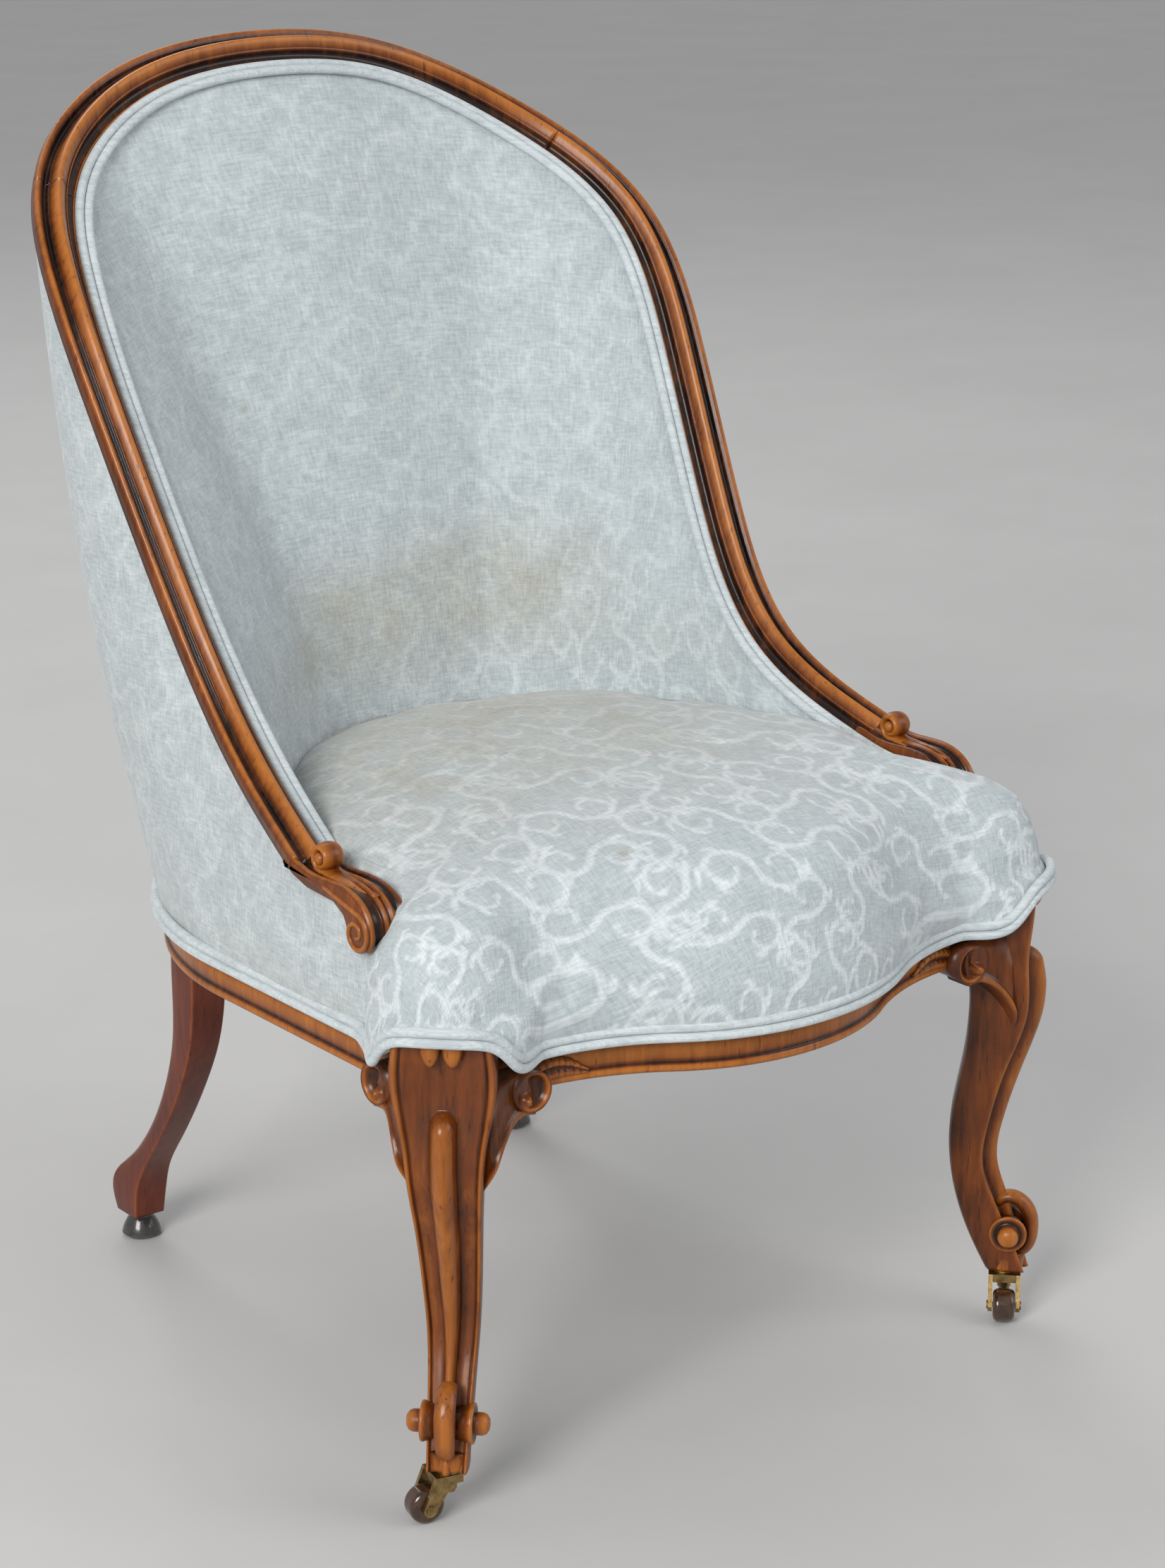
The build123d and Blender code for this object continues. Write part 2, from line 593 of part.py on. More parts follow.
def castor(x, heading, label):
    """One castor at its leg, its wheel trailing along the heading."""
    upright = Plane(origin=(x, LEG_Y, 0), x_dir=(cos(radians(heading)), sin(radians(heading)), 0))
    wheel_plane = Plane(
        origin=upright.from_local_coords(Vector(TRAIL, 0, WHEEL_RADIUS)),
        x_dir=upright.x_dir, z_dir=upright.y_dir,
    )
    side_plane = Plane(origin=upright.origin, x_dir=upright.x_dir, z_dir=-upright.y_dir)
    with BuildPart() as plate:
        with BuildSketch(upright.offset(FOOT_BOTTOM - PLATE_THICKNESS)):
            Circle(PLATE_RADIUS)
        extrude(amount=PLATE_THICKNESS)
        with BuildSketch(upright.offset(BOSS_BOTTOM - GAP - RIVET_THICKNESS)):
            Circle(RIVET_RADIUS)
        extrude(amount=RIVET_THICKNESS)
        with BuildSketch(upright.offset(BOSS_BOTTOM - GAP - RIVET_THICKNESS)):
            Circle(PINTLE_RADIUS)
        extrude(amount=FOOT_BOTTOM + PINTLE_LENGTH - BOSS_BOTTOM + GAP + RIVET_THICKNESS)
    with BuildPart() as horn:
        with BuildSketch(upright.offset(BRIDGE_BOTTOM)):
            with Locations(((TRAIL - BOSS_RADIUS - BRIDGE_NOSE) / 2, 0)):
                Rectangle(TRAIL + BOSS_RADIUS - BRIDGE_NOSE, 2 * FORK_OUTER)
        extrude(amount=BRIDGE_THICKNESS)
        for side in (-1, 1):
            start = FORK_HALF if side > 0 else -FORK_OUTER
            with BuildSketch(side_plane.offset(start)):
                with BuildLine():
                    Polyline(
                        (TRAIL + CHEEK_END_RADIUS, WHEEL_RADIUS),
                        (TRAIL - BRIDGE_NOSE, BRIDGE_TOP),
                        (BOSS_RADIUS / 2, BRIDGE_TOP),
                        (BOSS_RADIUS / 2, BRIDGE_BOTTOM),
                        (TRAIL - CHEEK_END_RADIUS, WHEEL_RADIUS),
                    )
                    ThreePointArc(
                        (TRAIL - CHEEK_END_RADIUS, WHEEL_RADIUS),
                        (TRAIL, WHEEL_RADIUS - CHEEK_END_RADIUS),
                        (TRAIL + CHEEK_END_RADIUS, WHEEL_RADIUS),
                    )
                make_face()
            extrude(amount=CHEEK_THICKNESS)
        with BuildSketch(upright.offset(BOSS_BOTTOM)):
            Circle(BOSS_RADIUS)
        extrude(amount=BOSS_DROP + BRIDGE_THICKNESS / 2)
        with BuildSketch(upright):
            Circle(PINTLE_RADIUS + FIT)
        extrude(amount=FOOT_BOTTOM, mode=Mode.SUBTRACT)
        with BuildSketch(wheel_plane):
            Circle(AXLE_RADIUS)
        extrude(amount=FORK_OUTER, both=True, mode=Mode.SUBTRACT)
    with BuildPart() as axle:
        with BuildSketch(wheel_plane):
            Circle(AXLE_RADIUS)
        extrude(amount=FORK_OUTER, both=True)
        for side in (-1, 1):
            with BuildSketch(wheel_plane.offset(side * FORK_OUTER)):
                Circle(AXLE_HEAD_RADIUS)
            extrude(amount=side * AXLE_HEAD_THICKNESS)
    with BuildPart() as wheel:
        with BuildSketch(wheel_plane):
            Circle(WHEEL_RADIUS)
        extrude(amount=WHEEL_WIDTH / 2, both=True)
        fillet(wheel.edges().filter_by(GeomType.CIRCLE), WHEEL_ROUND)
        with BuildSketch(wheel_plane):
            Circle(AXLE_RADIUS + FIT)
        extrude(amount=WHEEL_WIDTH / 2, both=True, mode=Mode.SUBTRACT)
    keep(plate.part, f"{label}_castor_plate")
    keep(horn.part, f"{label}_castor_horn")
    keep(axle.part, f"{label}_castor_axle")
    keep(wheel.part, f"{label}_castor_wheel")


# Inner frame: arm posts, back uprights, corner blocks and their screws

with BuildPart() as right_arm_post:
    with BuildSketch(Plane.XZ.offset(POST_AHEAD - arm.Y - POST_DEPTH / 2)):
        Polygon(
            (inner_x + 2, RAIL_TOP), (inner_x + 2 + POST_WIDTH, RAIL_TOP),
            (arm.X + POST_WIDTH / 2, arm.Z - 20), (arm.X - POST_WIDTH / 2, arm.Z - 20), align=None,
        )
    extrude(amount=POST_DEPTH)
    add(right_stile.part, mode=Mode.SUBTRACT)


with BuildPart() as right_upright:
    turn = radians(UPRIGHT_ANGLE)
    for reach, height in UPRIGHT_STATIONS:
        foot_place = (reach * cos(turn), REAR_CENTRE_Y + reach * sin(turn), height)
        with BuildSketch(Plane(origin=foot_place, x_dir=(cos(turn), sin(turn), 0))):
            Rectangle(UPRIGHT_DEPTH, UPRIGHT_WIDTH)
    loft()
    add(right_stile.part, mode=Mode.SUBTRACT)
# What the stile cuts off above itself falls away
upright_below_stile = right_upright.part.solids().sort_by(Axis.Z)[0]

with BuildPart() as right_corner_block:
    extrude(seat_plan(RAIL_THICKNESS, BLOCK_BOTTOM), BLOCK_HEIGHT)
    with BuildSketch(Plane.XY.offset(BLOCK_BOTTOM)):
        Polygon(
            (inner_x, inner_y - BLOCK_REACH), (inner_x, inner_y + BLOCK_REACH),
            (inner_x - 2 * BLOCK_REACH, inner_y - BLOCK_REACH), align=None,
        )
    extrude(amount=BLOCK_HEIGHT, mode=Mode.INTERSECT)
    with BuildSketch(screw_plane):
        Circle(SCREW_RADIUS)
    extrude(amount=SCREW_LENGTH, both=True, mode=Mode.SUBTRACT)

with BuildPart() as right_block_screw:
    with BuildSketch(screw_plane):
        Circle(SCREW_RADIUS)
    extrude(amount=SCREW_LENGTH)
    with BuildSketch(screw_plane):
        Circle(SCREW_HEAD_RADIUS)
    extrude(amount=-SCREW_HEAD_THICKNESS)

castor(LEG_X, RIGHT_HEADING, "right")
castor(-LEG_X, LEFT_HEADING, "left")

keep(crest_rail.part, "crest_rail")
keep_pair(right_stile.part, "stile")
keep(front_rail.part, "front_rail")
keep_pair(right_side_rail.part, "side_rail")
keep(back_rail.part, "back_rail")
keep_pair(right_front_leg.part, "front_leg")
keep_pair(right_front_bracket.part, "front_bracket")
keep_pair(right_side_bracket.part, "side_bracket")
keep_pair(right_rear_leg.part, "rear_leg")
keep_pair(right_rear_glide.part, "rear_glide")
left_arm_post = keep_pair(right_arm_post.part, "arm_post")
keep_pair(upright_below_stile, "back_upright")
keep_pair(right_corner_block.part, "corner_block")
keep_pair(right_block_screw.part, "block_screw")

# Seat: webbing, springs, hessian, cushion and bottom cloth

web_top = RAIL_BOTTOM + WEB_REBATE_DEPTH
web_middle = web_top - WEB_THICKNESS
web_bottom = web_middle - WEB_THICKNESS
with BuildPart() as seat_webbing:
    with BuildSketch(Plane.XY.offset(web_middle)):
        with GridLocations(WEB_PITCH, 0, WEBS_ALONG, 1):
            Rectangle(WEB_WIDTH, 2 * SEAT_WIDTH)
    extrude(amount=WEB_THICKNESS)
    with BuildSketch(Plane.XY.offset(web_bottom)):
        with Locations((0, WEB_ACROSS_Y)):
            with GridLocations(0, WEB_PITCH, 1, WEBS_ACROSS):
                Rectangle(2 * SEAT_WIDTH, WEB_WIDTH)
    extrude(amount=WEB_THICKNESS)
    extrude(
        seat_plan(RAIL_THICKNESS - WEB_TACK, web_bottom), 2 * WEB_THICKNESS,
        mode=Mode.INTERSECT,
    )


def spring_wire():
    """Centre line of an hourglass coil spring, with a level half turn at each end."""
    low = web_top + SPRING_WIRE / 2
    high = SPRING_TOP - SPRING_WIRE / 2 - SPRING_EASE
    count = 2 * SPRING_TURNS
    with BuildLine() as wire:
        before = Vector(SPRING_RADIUS, 0, low)
        for i in range(1, count + 1):
            share = min(max((i - 1) / (count - 2), 0), 1)
            radius = SPRING_WAIST + (SPRING_RADIUS - SPRING_WAIST) * (2 * share - 1) ** 2
            side = -1 if i % 2 else 1
            after = Vector(side * radius, 0, low + (high - low) * share)
            middle = (before + after) / 2 + Vector(0, -side * (after - before).length / 2, 0)
            ThreePointArc(before, middle, after)
            before = after
    return wire.line


with BuildPart() as spring:
    wire_start = (SPRING_RADIUS, 0, web_top + SPRING_WIRE / 2)
    with BuildSketch(Plane(origin=wire_start, x_dir=(1, 0, 0), z_dir=(0, 1, 0))):
        Rectangle(SPRING_WIRE, SPRING_WIRE)
    sweep(path=spring_wire())



def cushion_outline(inset):
    """Plan of the seat cushion; its rear edge barely moves with the inset."""
    side = HALF_WIDTH - inset
    front = FRONT_Y + inset
    shift = max(inset, 0)
    squeeze = shift * SEAT_SQUEEZE
    neck = SEAT_NECK_X - squeeze
    corner = Vector(LEG_X, LEG_Y, 0) + DIAGONAL * (CORNER_OUT - CORNER_PULL * (inset + HEM_PROUD))
    with BuildLine() as outline:
        CenterArc((0, BOW_CENTRE_Y), BOW_RADIUS - inset, 270, BOW_TURN)
        CenterArc((HOLLOW_END_X, HOLLOW_CENTRE_Y), HOLLOW_RADIUS + inset, 90 + BOW_TURN, -BOW_TURN)
        ThreePointArc((HOLLOW_END_X, front), corner, (side, SIDE_CREASE_Y + 0.8 * shift))
        Line((side, SIDE_CREASE_Y + 0.8 * shift), (side, SIDE_END_Y + 0.6 * shift))
        Line((side, SIDE_END_Y + 0.6 * shift), (neck, SEAT_NECK_Y + 0.6 * shift))
        Spline(
            (neck, SEAT_NECK_Y + 0.6 * shift), (SEAT_BACK_X - squeeze, -20), (SEAT_BACK_X * 0.76 - squeeze, 75),
            (0, SEAT_BACK_Y - squeeze), tangents=((-0.1, 1), (-1, 0)),
        )
        mirror(about=Plane.YZ)
    return outline.line


def cushion_body(grow):
    """Crowned body of the seat, grown all round."""
    with BuildPart() as body:
        for height, inset in CUSHION_STATIONS:
            with BuildSketch(Plane.XY.offset(height)):
                add(cushion_outline(inset - grow))
                make_face()
        loft()
        crown = Sphere(SEAT_CROWN_RADIUS + grow, mode=Mode.PRIVATE)
        crown = crown.moved(Location((0, SEAT_CROWN_Y, SEAT_TOP - SEAT_CROWN_RADIUS)))
        add(crown, mode=Mode.INTERSECT)
    return body.part


with BuildPart() as seat_cushion:
    add(cushion_body(0))
    extrude(seat_plan(COVER_REBATE - SOFT_GAP, HEM - 5), RAIL_TOP - HEM + 5, mode=Mode.SUBTRACT)
    extrude(seat_plan(RAIL_THICKNESS - 1, RAIL_TOP), HESSIAN_TOP - RAIL_TOP, mode=Mode.SUBTRACT)
    for leg_side in (-1, 1):
        corner_turn = Plane(origin=(leg_side * LEG_X, LEG_Y, HEM - 5), x_dir=(1, leg_side, 0))
        with BuildSketch(corner_turn):
            Rectangle(LEG_CLEAR_WIDTH, LEG_CLEAR_DEPTH)
        extrude(amount=LEG_TOP - HEM + 5, mode=Mode.SUBTRACT)
    add(terminal.part, mode=Mode.SUBTRACT)
    add(mirror(terminal.part, about=Plane.YZ, mode=Mode.PRIVATE), mode=Mode.SUBTRACT)

with BuildPart() as hessian:
    extrude(seat_plan(RAIL_THICKNESS, SPRING_TOP), HESSIAN_THICKNESS)
    with BuildSketch(Plane.XY.offset(SPRING_TOP)):
        add(cushion_outline(HEM_PROUD))
        make_face()
    extrude(amount=HESSIAN_THICKNESS, mode=Mode.INTERSECT)

with BuildPart() as bottom_cloth:
    extrude(seat_plan(RAIL_THICKNESS - WEB_TACK, web_bottom - CLOTH_THICKNESS), CLOTH_THICKNESS)

# Back: ribs stand across it, level along the arms and round the back's centre behind them


def rib_plane(place):
    """Upright plane through a place on the hoop, and how far out along it the place is."""
    side = 1 if place.X >= 0 else -1
    if place.Y < REAR_CENTRE_Y:
        return Plane(origin=(0, place.Y, 0), x_dir=(side, 0, 0), z_dir=(0, -side, 0)), abs(place.X), 0
    out = Vector(place.X, place.Y - REAR_CENTRE_Y, 0)
    reach = out.length
    turn = atan2(out.Y, abs(out.X))
    return Plane(origin=(0, REAR_CENTRE_Y, 0), x_dir=out, z_dir=(out.Y, -out.X, 0)), reach, turn


with BuildPart() as inside_back:
    places = [
        hoop_plane(share).from_local_coords(Vector(-MOULD_IN - 1.5, -PAD_LIP, 0))
        for share in hoop_stretch(PAD_START, 1 - PAD_START, 15)
    ]
    pad_end = Vector(*PAD_FRONT)
    for place in [pad_end] + places + [Vector(-pad_end.X, pad_end.Y, pad_end.Z)]:
        plane, reach, turn = rib_plane(place)
        crease = 1 / hypot(cos(turn) / SEAT_BACK_X, sin(turn) / (SEAT_BACK_Y - REAR_CENTRE_Y))
        crease *= 1 - PAD_SQUEEZE * max(sin(3 * turn), 0)
        crease -= PAD_TUCK * sin(turn)
        start = Vector(crease, PAD_FOOT)
        end = Vector(reach - PAD_LIP, place.Z)
        chord = end - start
        crown = PAD_CROWN * min(chord.length / 300, 1)
        middle = (start + end) / 2 + Vector(-chord.Y, chord.X).normalized() * crown
        low = place.Z - min(PAD_DROP, 0.7 * (place.Z - PAD_FOOT))
        with BuildSketch(plane):
            with BuildLine():
                ThreePointArc(start, middle, end)
                Line(end, (reach, place.Z))
                Line((reach, place.Z), (reach, low))
                Line((reach, low), (crease + PAD_FOOT_DEPTH, PAD_FOOT))
                Line((crease + PAD_FOOT_DEPTH, PAD_FOOT), start)
            make_face()
    loft()
    with BuildSketch(Plane.XY.offset(PAD_FOOT)):
        Rectangle(2 * SEAT_WIDTH, 2 * SEAT_WIDTH)
    extrude(amount=-RAIL_HEIGHT, mode=Mode.SUBTRACT)
    add(cushion_body(SOFT_GAP), mode=Mode.SUBTRACT)
    add(right_arm_post.part, mode=Mode.SUBTRACT)
    add(left_arm_post, mode=Mode.SUBTRACT)
    add(terminal.part, mode=Mode.SUBTRACT)
    add(mirror(terminal.part, about=Plane.YZ, mode=Mode.PRIVATE), mode=Mode.SUBTRACT)

with BuildPart() as outside_back:
    right_tops = [Vector(*point) for point in COVER_FRONT]
    left_tops = [Vector(-point.X, point.Y, point.Z) for point in reversed(right_tops)]
    tops = [
        hoop_plane(share).from_local_coords(Vector(MOULD_OUT - COVER_INSET, -INNER_FALL - COVER_INSET, 0))
        for share in hoop_stretch(COVER_START, 1 - COVER_START, 25)
    ]
    for place in right_tops + tops + left_tops:
        plane, reach, turn = rib_plane(place)
        hem = Vector(HALF_WIDTH + 1, HEM)
        top = Vector(reach, place.Z)
        chord = top - hem
        low = place.Z - min(COVER_DROP, 0.4 * (place.Z - RAIL_TOP))
        bulge = COVER_BULGE * min(chord.length / 400, 1)
        middle = (hem + top) / 2 + Vector(chord.Y, -chord.X).normalized() * bulge
        with BuildSketch(plane):
            with BuildLine():
                ThreePointArc(hem, middle, top)
                Polyline(
                    top,
                    (reach - COVER_THICKNESS, place.Z),
                    (reach - COVER_THICKNESS, low),
                    (HALF_WIDTH - COVER_REBATE + GAP, RAIL_TOP),
                    (HALF_WIDTH - COVER_REBATE + GAP, HEM),
                    hem,
                )
            make_face()
    loft()



def piping_outline(centre, base):
    """Section of two cords side by side, the first centred on centre, standing on base."""
    near = centre + PIPE_RADIUS
    between = centre - PIPE_RADIUS
    far = between - 2 * PIPE_RADIUS
    shoulder = base + PIPE_RADIUS
    top = base + 2 * PIPE_RADIUS
    with BuildLine() as outline:
        Line((near, base), (near, shoulder))
        ThreePointArc((near, shoulder), (centre, top), (between, shoulder))
        ThreePointArc((between, shoulder), (between - PIPE_RADIUS, top), (far, shoulder))
        Line((far, shoulder), (far, base))
        Line((far, base), (near, base))
    return outline.line


with BuildPart() as back_piping:
    for share in hoop_stretch(PIPE_START, 1 - PIPE_START, 21):
        with BuildSketch(hoop_plane(share)):
            add(piping_outline(PIPE_N, PIPE_F))
            make_face()
    loft()
    add(inside_back.part, mode=Mode.SUBTRACT)


arch_right = [Vector(LEG_X, LEG_Y, level) + ACROSS * p + DIAGONAL * out for p, out, level in ARCH]
arch_left = [Vector(LEG_X, LEG_Y, level) - ACROSS * p + DIAGONAL * out for p, out, level in reversed(ARCH[:-1])]
with BuildLine() as arch_line:
    Spline(*arch_right, *arch_left)
arch_edge = arch_line.edges()[0]

with BuildPart() as right_leg_piping:
    for share in hoop_stretch(0, 1, 13):
        place = arch_edge.position_at(share)
        along = arch_edge.tangent_at(share)
        out = place - Vector(LEG_X, LEG_Y, place.Z) + DIAGONAL * ARCH_CENTRE
        out = (out - along * out.dot(along)).normalized()
        up = along.cross(out)
        with BuildSketch(Plane(origin=place, x_dir=up, z_dir=up.cross(out))):
            add(piping_outline(PIPE_RADIUS, 0))
            make_face()
    loft()


with BuildPart() as hem_piping:
    extrude(seat_plan(-1 - HEM_PIPE_DEPTH, HEM), HEM_PIPE_HEIGHT)
    with BuildPart(mode=Mode.PRIVATE) as front_band:
        extrude(seat_plan(-HEM_PROUD - HEM_PIPE_DEPTH, HEM), HEM_PIPE_HEIGHT)
        with BuildSketch(Plane.XY.offset(HEM)):
            Polygon(
                (-SEAT_WIDTH, -SEAT_WIDTH), (SEAT_WIDTH, -SEAT_WIDTH), (SEAT_WIDTH, SIDE_END_Y),
                (-SEAT_WIDTH, SIDE_END_Y), align=None,
            )
        extrude(amount=HEM_PIPE_HEIGHT, mode=Mode.INTERSECT)
    add(front_band.part)
    extrude(seat_plan(0, HEM), HEM_PIPE_HEIGHT, mode=Mode.SUBTRACT)
    for leg_side in (-1, 1):
        with BuildSketch(Plane(origin=(leg_side * LEG_X, LEG_Y, HEM), x_dir=(1, leg_side, 0))):
            Rectangle(BAND_CLEAR_WIDTH, 2 * LEG_CLEAR_DEPTH)
        extrude(amount=HEM_PIPE_HEIGHT, mode=Mode.SUBTRACT)
    add(seat_cushion.part, mode=Mode.SUBTRACT)
    add(outside_back.part, mode=Mode.SUBTRACT)

front_hem_piping = hem_piping.part.solids().sort_by(Axis.Y)[0]
rear_hem_piping = hem_piping.part.solids().sort_by(Axis.Y)[-1]

for number, (x, y) in enumerate(SPRING_PLACES, 1):
    keep(spring.part.moved(Location((x, y, 0))), f"seat_spring_{number}")
keep(seat_webbing.part, "seat_webbing")
keep(hessian.part, "hessian")
keep(bottom_cloth.part, "bottom_cloth")
keep(seat_cushion.part, "seat_cushion")
keep(inside_back.part, "inside_back")
keep(outside_back.part, "outside_back")
keep(back_piping.part, "back_piping")
keep(front_hem_piping, "front_hem_piping")
keep(rear_hem_piping, "rear_hem_piping")
keep_pair(right_leg_piping.part, "leg_piping")
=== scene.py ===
"""Looks of a spoon-back drawing-room chair: carved walnut, pale damask, brass castors, floor and light."""
import math

import bmesh
import bpy
import numpy as np
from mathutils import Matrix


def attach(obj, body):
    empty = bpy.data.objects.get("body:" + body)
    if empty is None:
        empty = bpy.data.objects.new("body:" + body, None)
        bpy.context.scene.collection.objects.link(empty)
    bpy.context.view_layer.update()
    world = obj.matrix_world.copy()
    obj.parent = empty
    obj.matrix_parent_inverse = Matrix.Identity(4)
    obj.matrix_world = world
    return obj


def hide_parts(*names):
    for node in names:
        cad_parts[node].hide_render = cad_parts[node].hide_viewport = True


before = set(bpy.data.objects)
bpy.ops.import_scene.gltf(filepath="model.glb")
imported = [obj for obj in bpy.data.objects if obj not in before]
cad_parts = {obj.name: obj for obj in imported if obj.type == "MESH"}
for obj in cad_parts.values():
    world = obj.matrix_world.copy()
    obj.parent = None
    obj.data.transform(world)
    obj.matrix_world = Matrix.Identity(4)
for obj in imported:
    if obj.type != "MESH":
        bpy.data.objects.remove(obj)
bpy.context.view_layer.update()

# CASTORS AND GLIDES
# Two cast brass castors with glazed pottery wheels under the front legs, and two dark domed
# glides nailed under the rear legs. Their solids have the real shapes, so they only get a finish.


class Finish:
    """A material under way, with short words for its nodes and links."""

    def __init__(self, name, tree=None):
        if tree is None:
            self.material = bpy.data.materials.new(name)
            self.material.use_nodes = True
            self.tree = self.material.node_tree
            self.shader = self.tree.nodes["Principled BSDF"]
        else:
            self.tree = tree

    def node(self, kind, links=(), **values):
        made = self.tree.nodes.new(kind)
        for key, value in values.items():
            setattr(made, key, value)
        for socket, value in dict(links).items():
            self.feed(made.inputs[socket], value)
        return made

    def feed(self, socket, value):
        if isinstance(value, bpy.types.NodeSocket):
            self.tree.links.new(value, socket)
        elif isinstance(value, tuple) and len(value) == 3 and socket.type == "RGBA":
            socket.default_value = (*value, 1)
        else:
            socket.default_value = value

    def set(self, **values):
        """Plain values and links on the shader's own sockets, named with _ for each space."""
        for key, value in values.items():
            self.feed(self.shader.inputs[key.replace("_", " ")], value)

    def math(self, operation, first, second):
        return self.node("ShaderNodeMath", {0: first, 1: second}, operation=operation).outputs[0]

    def mix(self, factor, first, second, blend="MIX"):
        links = {0: factor, 6: first, 7: second}
        return self.node("ShaderNodeMix", links, data_type="RGBA", blend_type=blend).outputs[2]

    def ramp(self, factor, *stops):
        made = self.node("ShaderNodeValToRGB", {"Fac": factor})
        band = made.color_ramp
        while len(band.elements) < len(stops):
            band.elements.new(0.5)
        for element, (place, colour) in zip(band.elements, stops):
            element.position = place
            element.color = (*colour, 1) if isinstance(colour, tuple) else (colour, colour, colour, 1)
        return made.outputs["Color"]

    def field(self, name):
        return self.node("ShaderNodeAttribute", attribute_name=name).outputs["Fac"]

    def place(self):
        return self.node("ShaderNodeTexCoord").outputs["Object"]

    def noise(self, vector, scale, detail, roughness=0.5):
        links = {"Vector": vector, "Scale": scale, "Detail": detail, "Roughness": roughness}
        return self.node("ShaderNodeTexNoise", links).outputs["Fac"]

    def use(self, group, **values):
        made = self.node("ShaderNodeGroup", node_tree=group)
        for key, value in values.items():
            self.feed(made.inputs[key.replace("_", " ")], value)
        return made.outputs

    def bump(self, height, strength, distance):
        links = {"Strength": strength, "Distance": distance, "Height": height}
        self.set(Normal=self.node("ShaderNodeBump", links).outputs["Normal"])


def open_group(name, inputs, outputs):
    """New shader group with plain number inputs and outputs."""
    tree = bpy.data.node_groups.new(name, "ShaderNodeTree")
    for label, value in inputs.items():
        socket = tree.interface.new_socket(label, in_out="INPUT", socket_type="NodeSocketFloat")
        socket.default_value = value
    for label in outputs:
        tree.interface.new_socket(label, in_out="OUTPUT", socket_type="NodeSocketFloat")
    made = Finish(name, tree)
    return tree, made, made.node("NodeGroupInput").outputs, made.node("NodeGroupOutput").inputs


patches, made, given, put = open_group("patches", {"Scale": 100, "Low": 0.35, "High": 0.65}, ["Mask", "Fine"])
place = made.place()
cloud = made.noise(place, given["Scale"], 5.0, 0.65)
spread = made.node("ShaderNodeMapRange", {0: cloud, 1: given["Low"], 2: given["High"]})
made.feed(put["Mask"], spread.outputs[0])
made.feed(put["Fine"], made.noise(place, made.math("MULTIPLY", given["Scale"], 5), 3.0))


def metal(name, bright, tarnish, smooth, dull):
    """Old metal, tarnished in patches and finely pitted."""
    made = Finish(name)
    age = made.use(patches, Scale=150.0)
    made.set(Base_Color=made.mix(age["Mask"], tarnish, bright), Metallic=1.0)
    made.set(Roughness=made.ramp(age["Mask"], (0.0, dull), (1.0, smooth)))
    made.bump(age["Fine"], 0.25, 0.0004)
    return made.material


def glaze(name, base, streak, rough):
    """Hard shiny surface with faint mottling."""
    made = Finish(name)
    age = made.use(patches, Scale=130.0)
    made.set(Base_Color=made.mix(age["Mask"], base, streak))
    made.set(Roughness=made.ramp(age["Fine"], (0.3, rough), (0.8, rough + 0.18)))
    made.set(Coat_Weight=0.5, Coat_Roughness=0.08)
    made.bump(age["Fine"], 0.1, 0.0003)
    return made.material


brass = metal("aged_brass", (0.42, 0.29, 0.12), (0.19, 0.125, 0.05), 0.3, 0.5)
wheel_glaze = glaze("wheel_glaze", (0.03, 0.012, 0.006), (0.075, 0.03, 0.013), 0.1)
glide_gloss = glaze("glide_gloss", (0.018, 0.017, 0.016), (0.05, 0.045, 0.04), 0.18)


def finish_nodes(material, *words):
    """Give a finish to every CAD node whose name holds one of the words."""
    for name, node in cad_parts.items():
        if any(word in name for word in words):
            node.data.materials.clear()
            node.data.materials.append(material)


finish_nodes(brass, "castor_plate", "castor_horn", "castor_axle")
finish_nodes(wheel_glaze, "castor_wheel")
finish_nodes(glide_gloss, "rear_glide")

# FRONT LEGS
# Cabriole legs carved from walnut, set on the diagonal of the seat. A rounded ridge runs down the
# front between hollow panels, and ends in a scrolled toe between two turned ears.

MM = 0.001
SIDES = (("right", 1.0), ("left", -1.0))
LEG_AXIS = np.array((250.0, -250.0, 0.0))
OUTWARD = np.array((1.0, -1.0, 0.0)) / math.sqrt(2)
ACROSS = np.array((1.0, 1.0, 0.0)) / math.sqrt(2)
UP = np.array((0.0, 0.0, 1.0))

wood_figure, made, given, put = open_group(
    "wood_figure", {"Scale": 200, "Stretch": 0.1}, ["Grain", "Cloud", "Pores", "Height"])
place = made.place()
stretch = made.node("ShaderNodeCombineXYZ", {0: 1.0, 1: 1.0, 2: given["Stretch"]}).outputs[0]
drawn = made.node("ShaderNodeMapping", {"Vector": place, "Scale": stretch}).outputs[0]
grain = made.noise(drawn, given["Scale"], 5.0, 0.62)
pits = made.node("ShaderNodeMapRange", {0: made.noise(drawn, 420.0, 2.0), 1: 0.27, 2: 0.36}).outputs[0]
made.feed(put["Grain"], grain)
made.feed(put["Cloud"], made.noise(place, 24.0, 3.0))
made.feed(put["Pores"], pits)
made.feed(put["Height"], made.math("ADD", grain, made.math("MULTIPLY", pits, 0.6)))


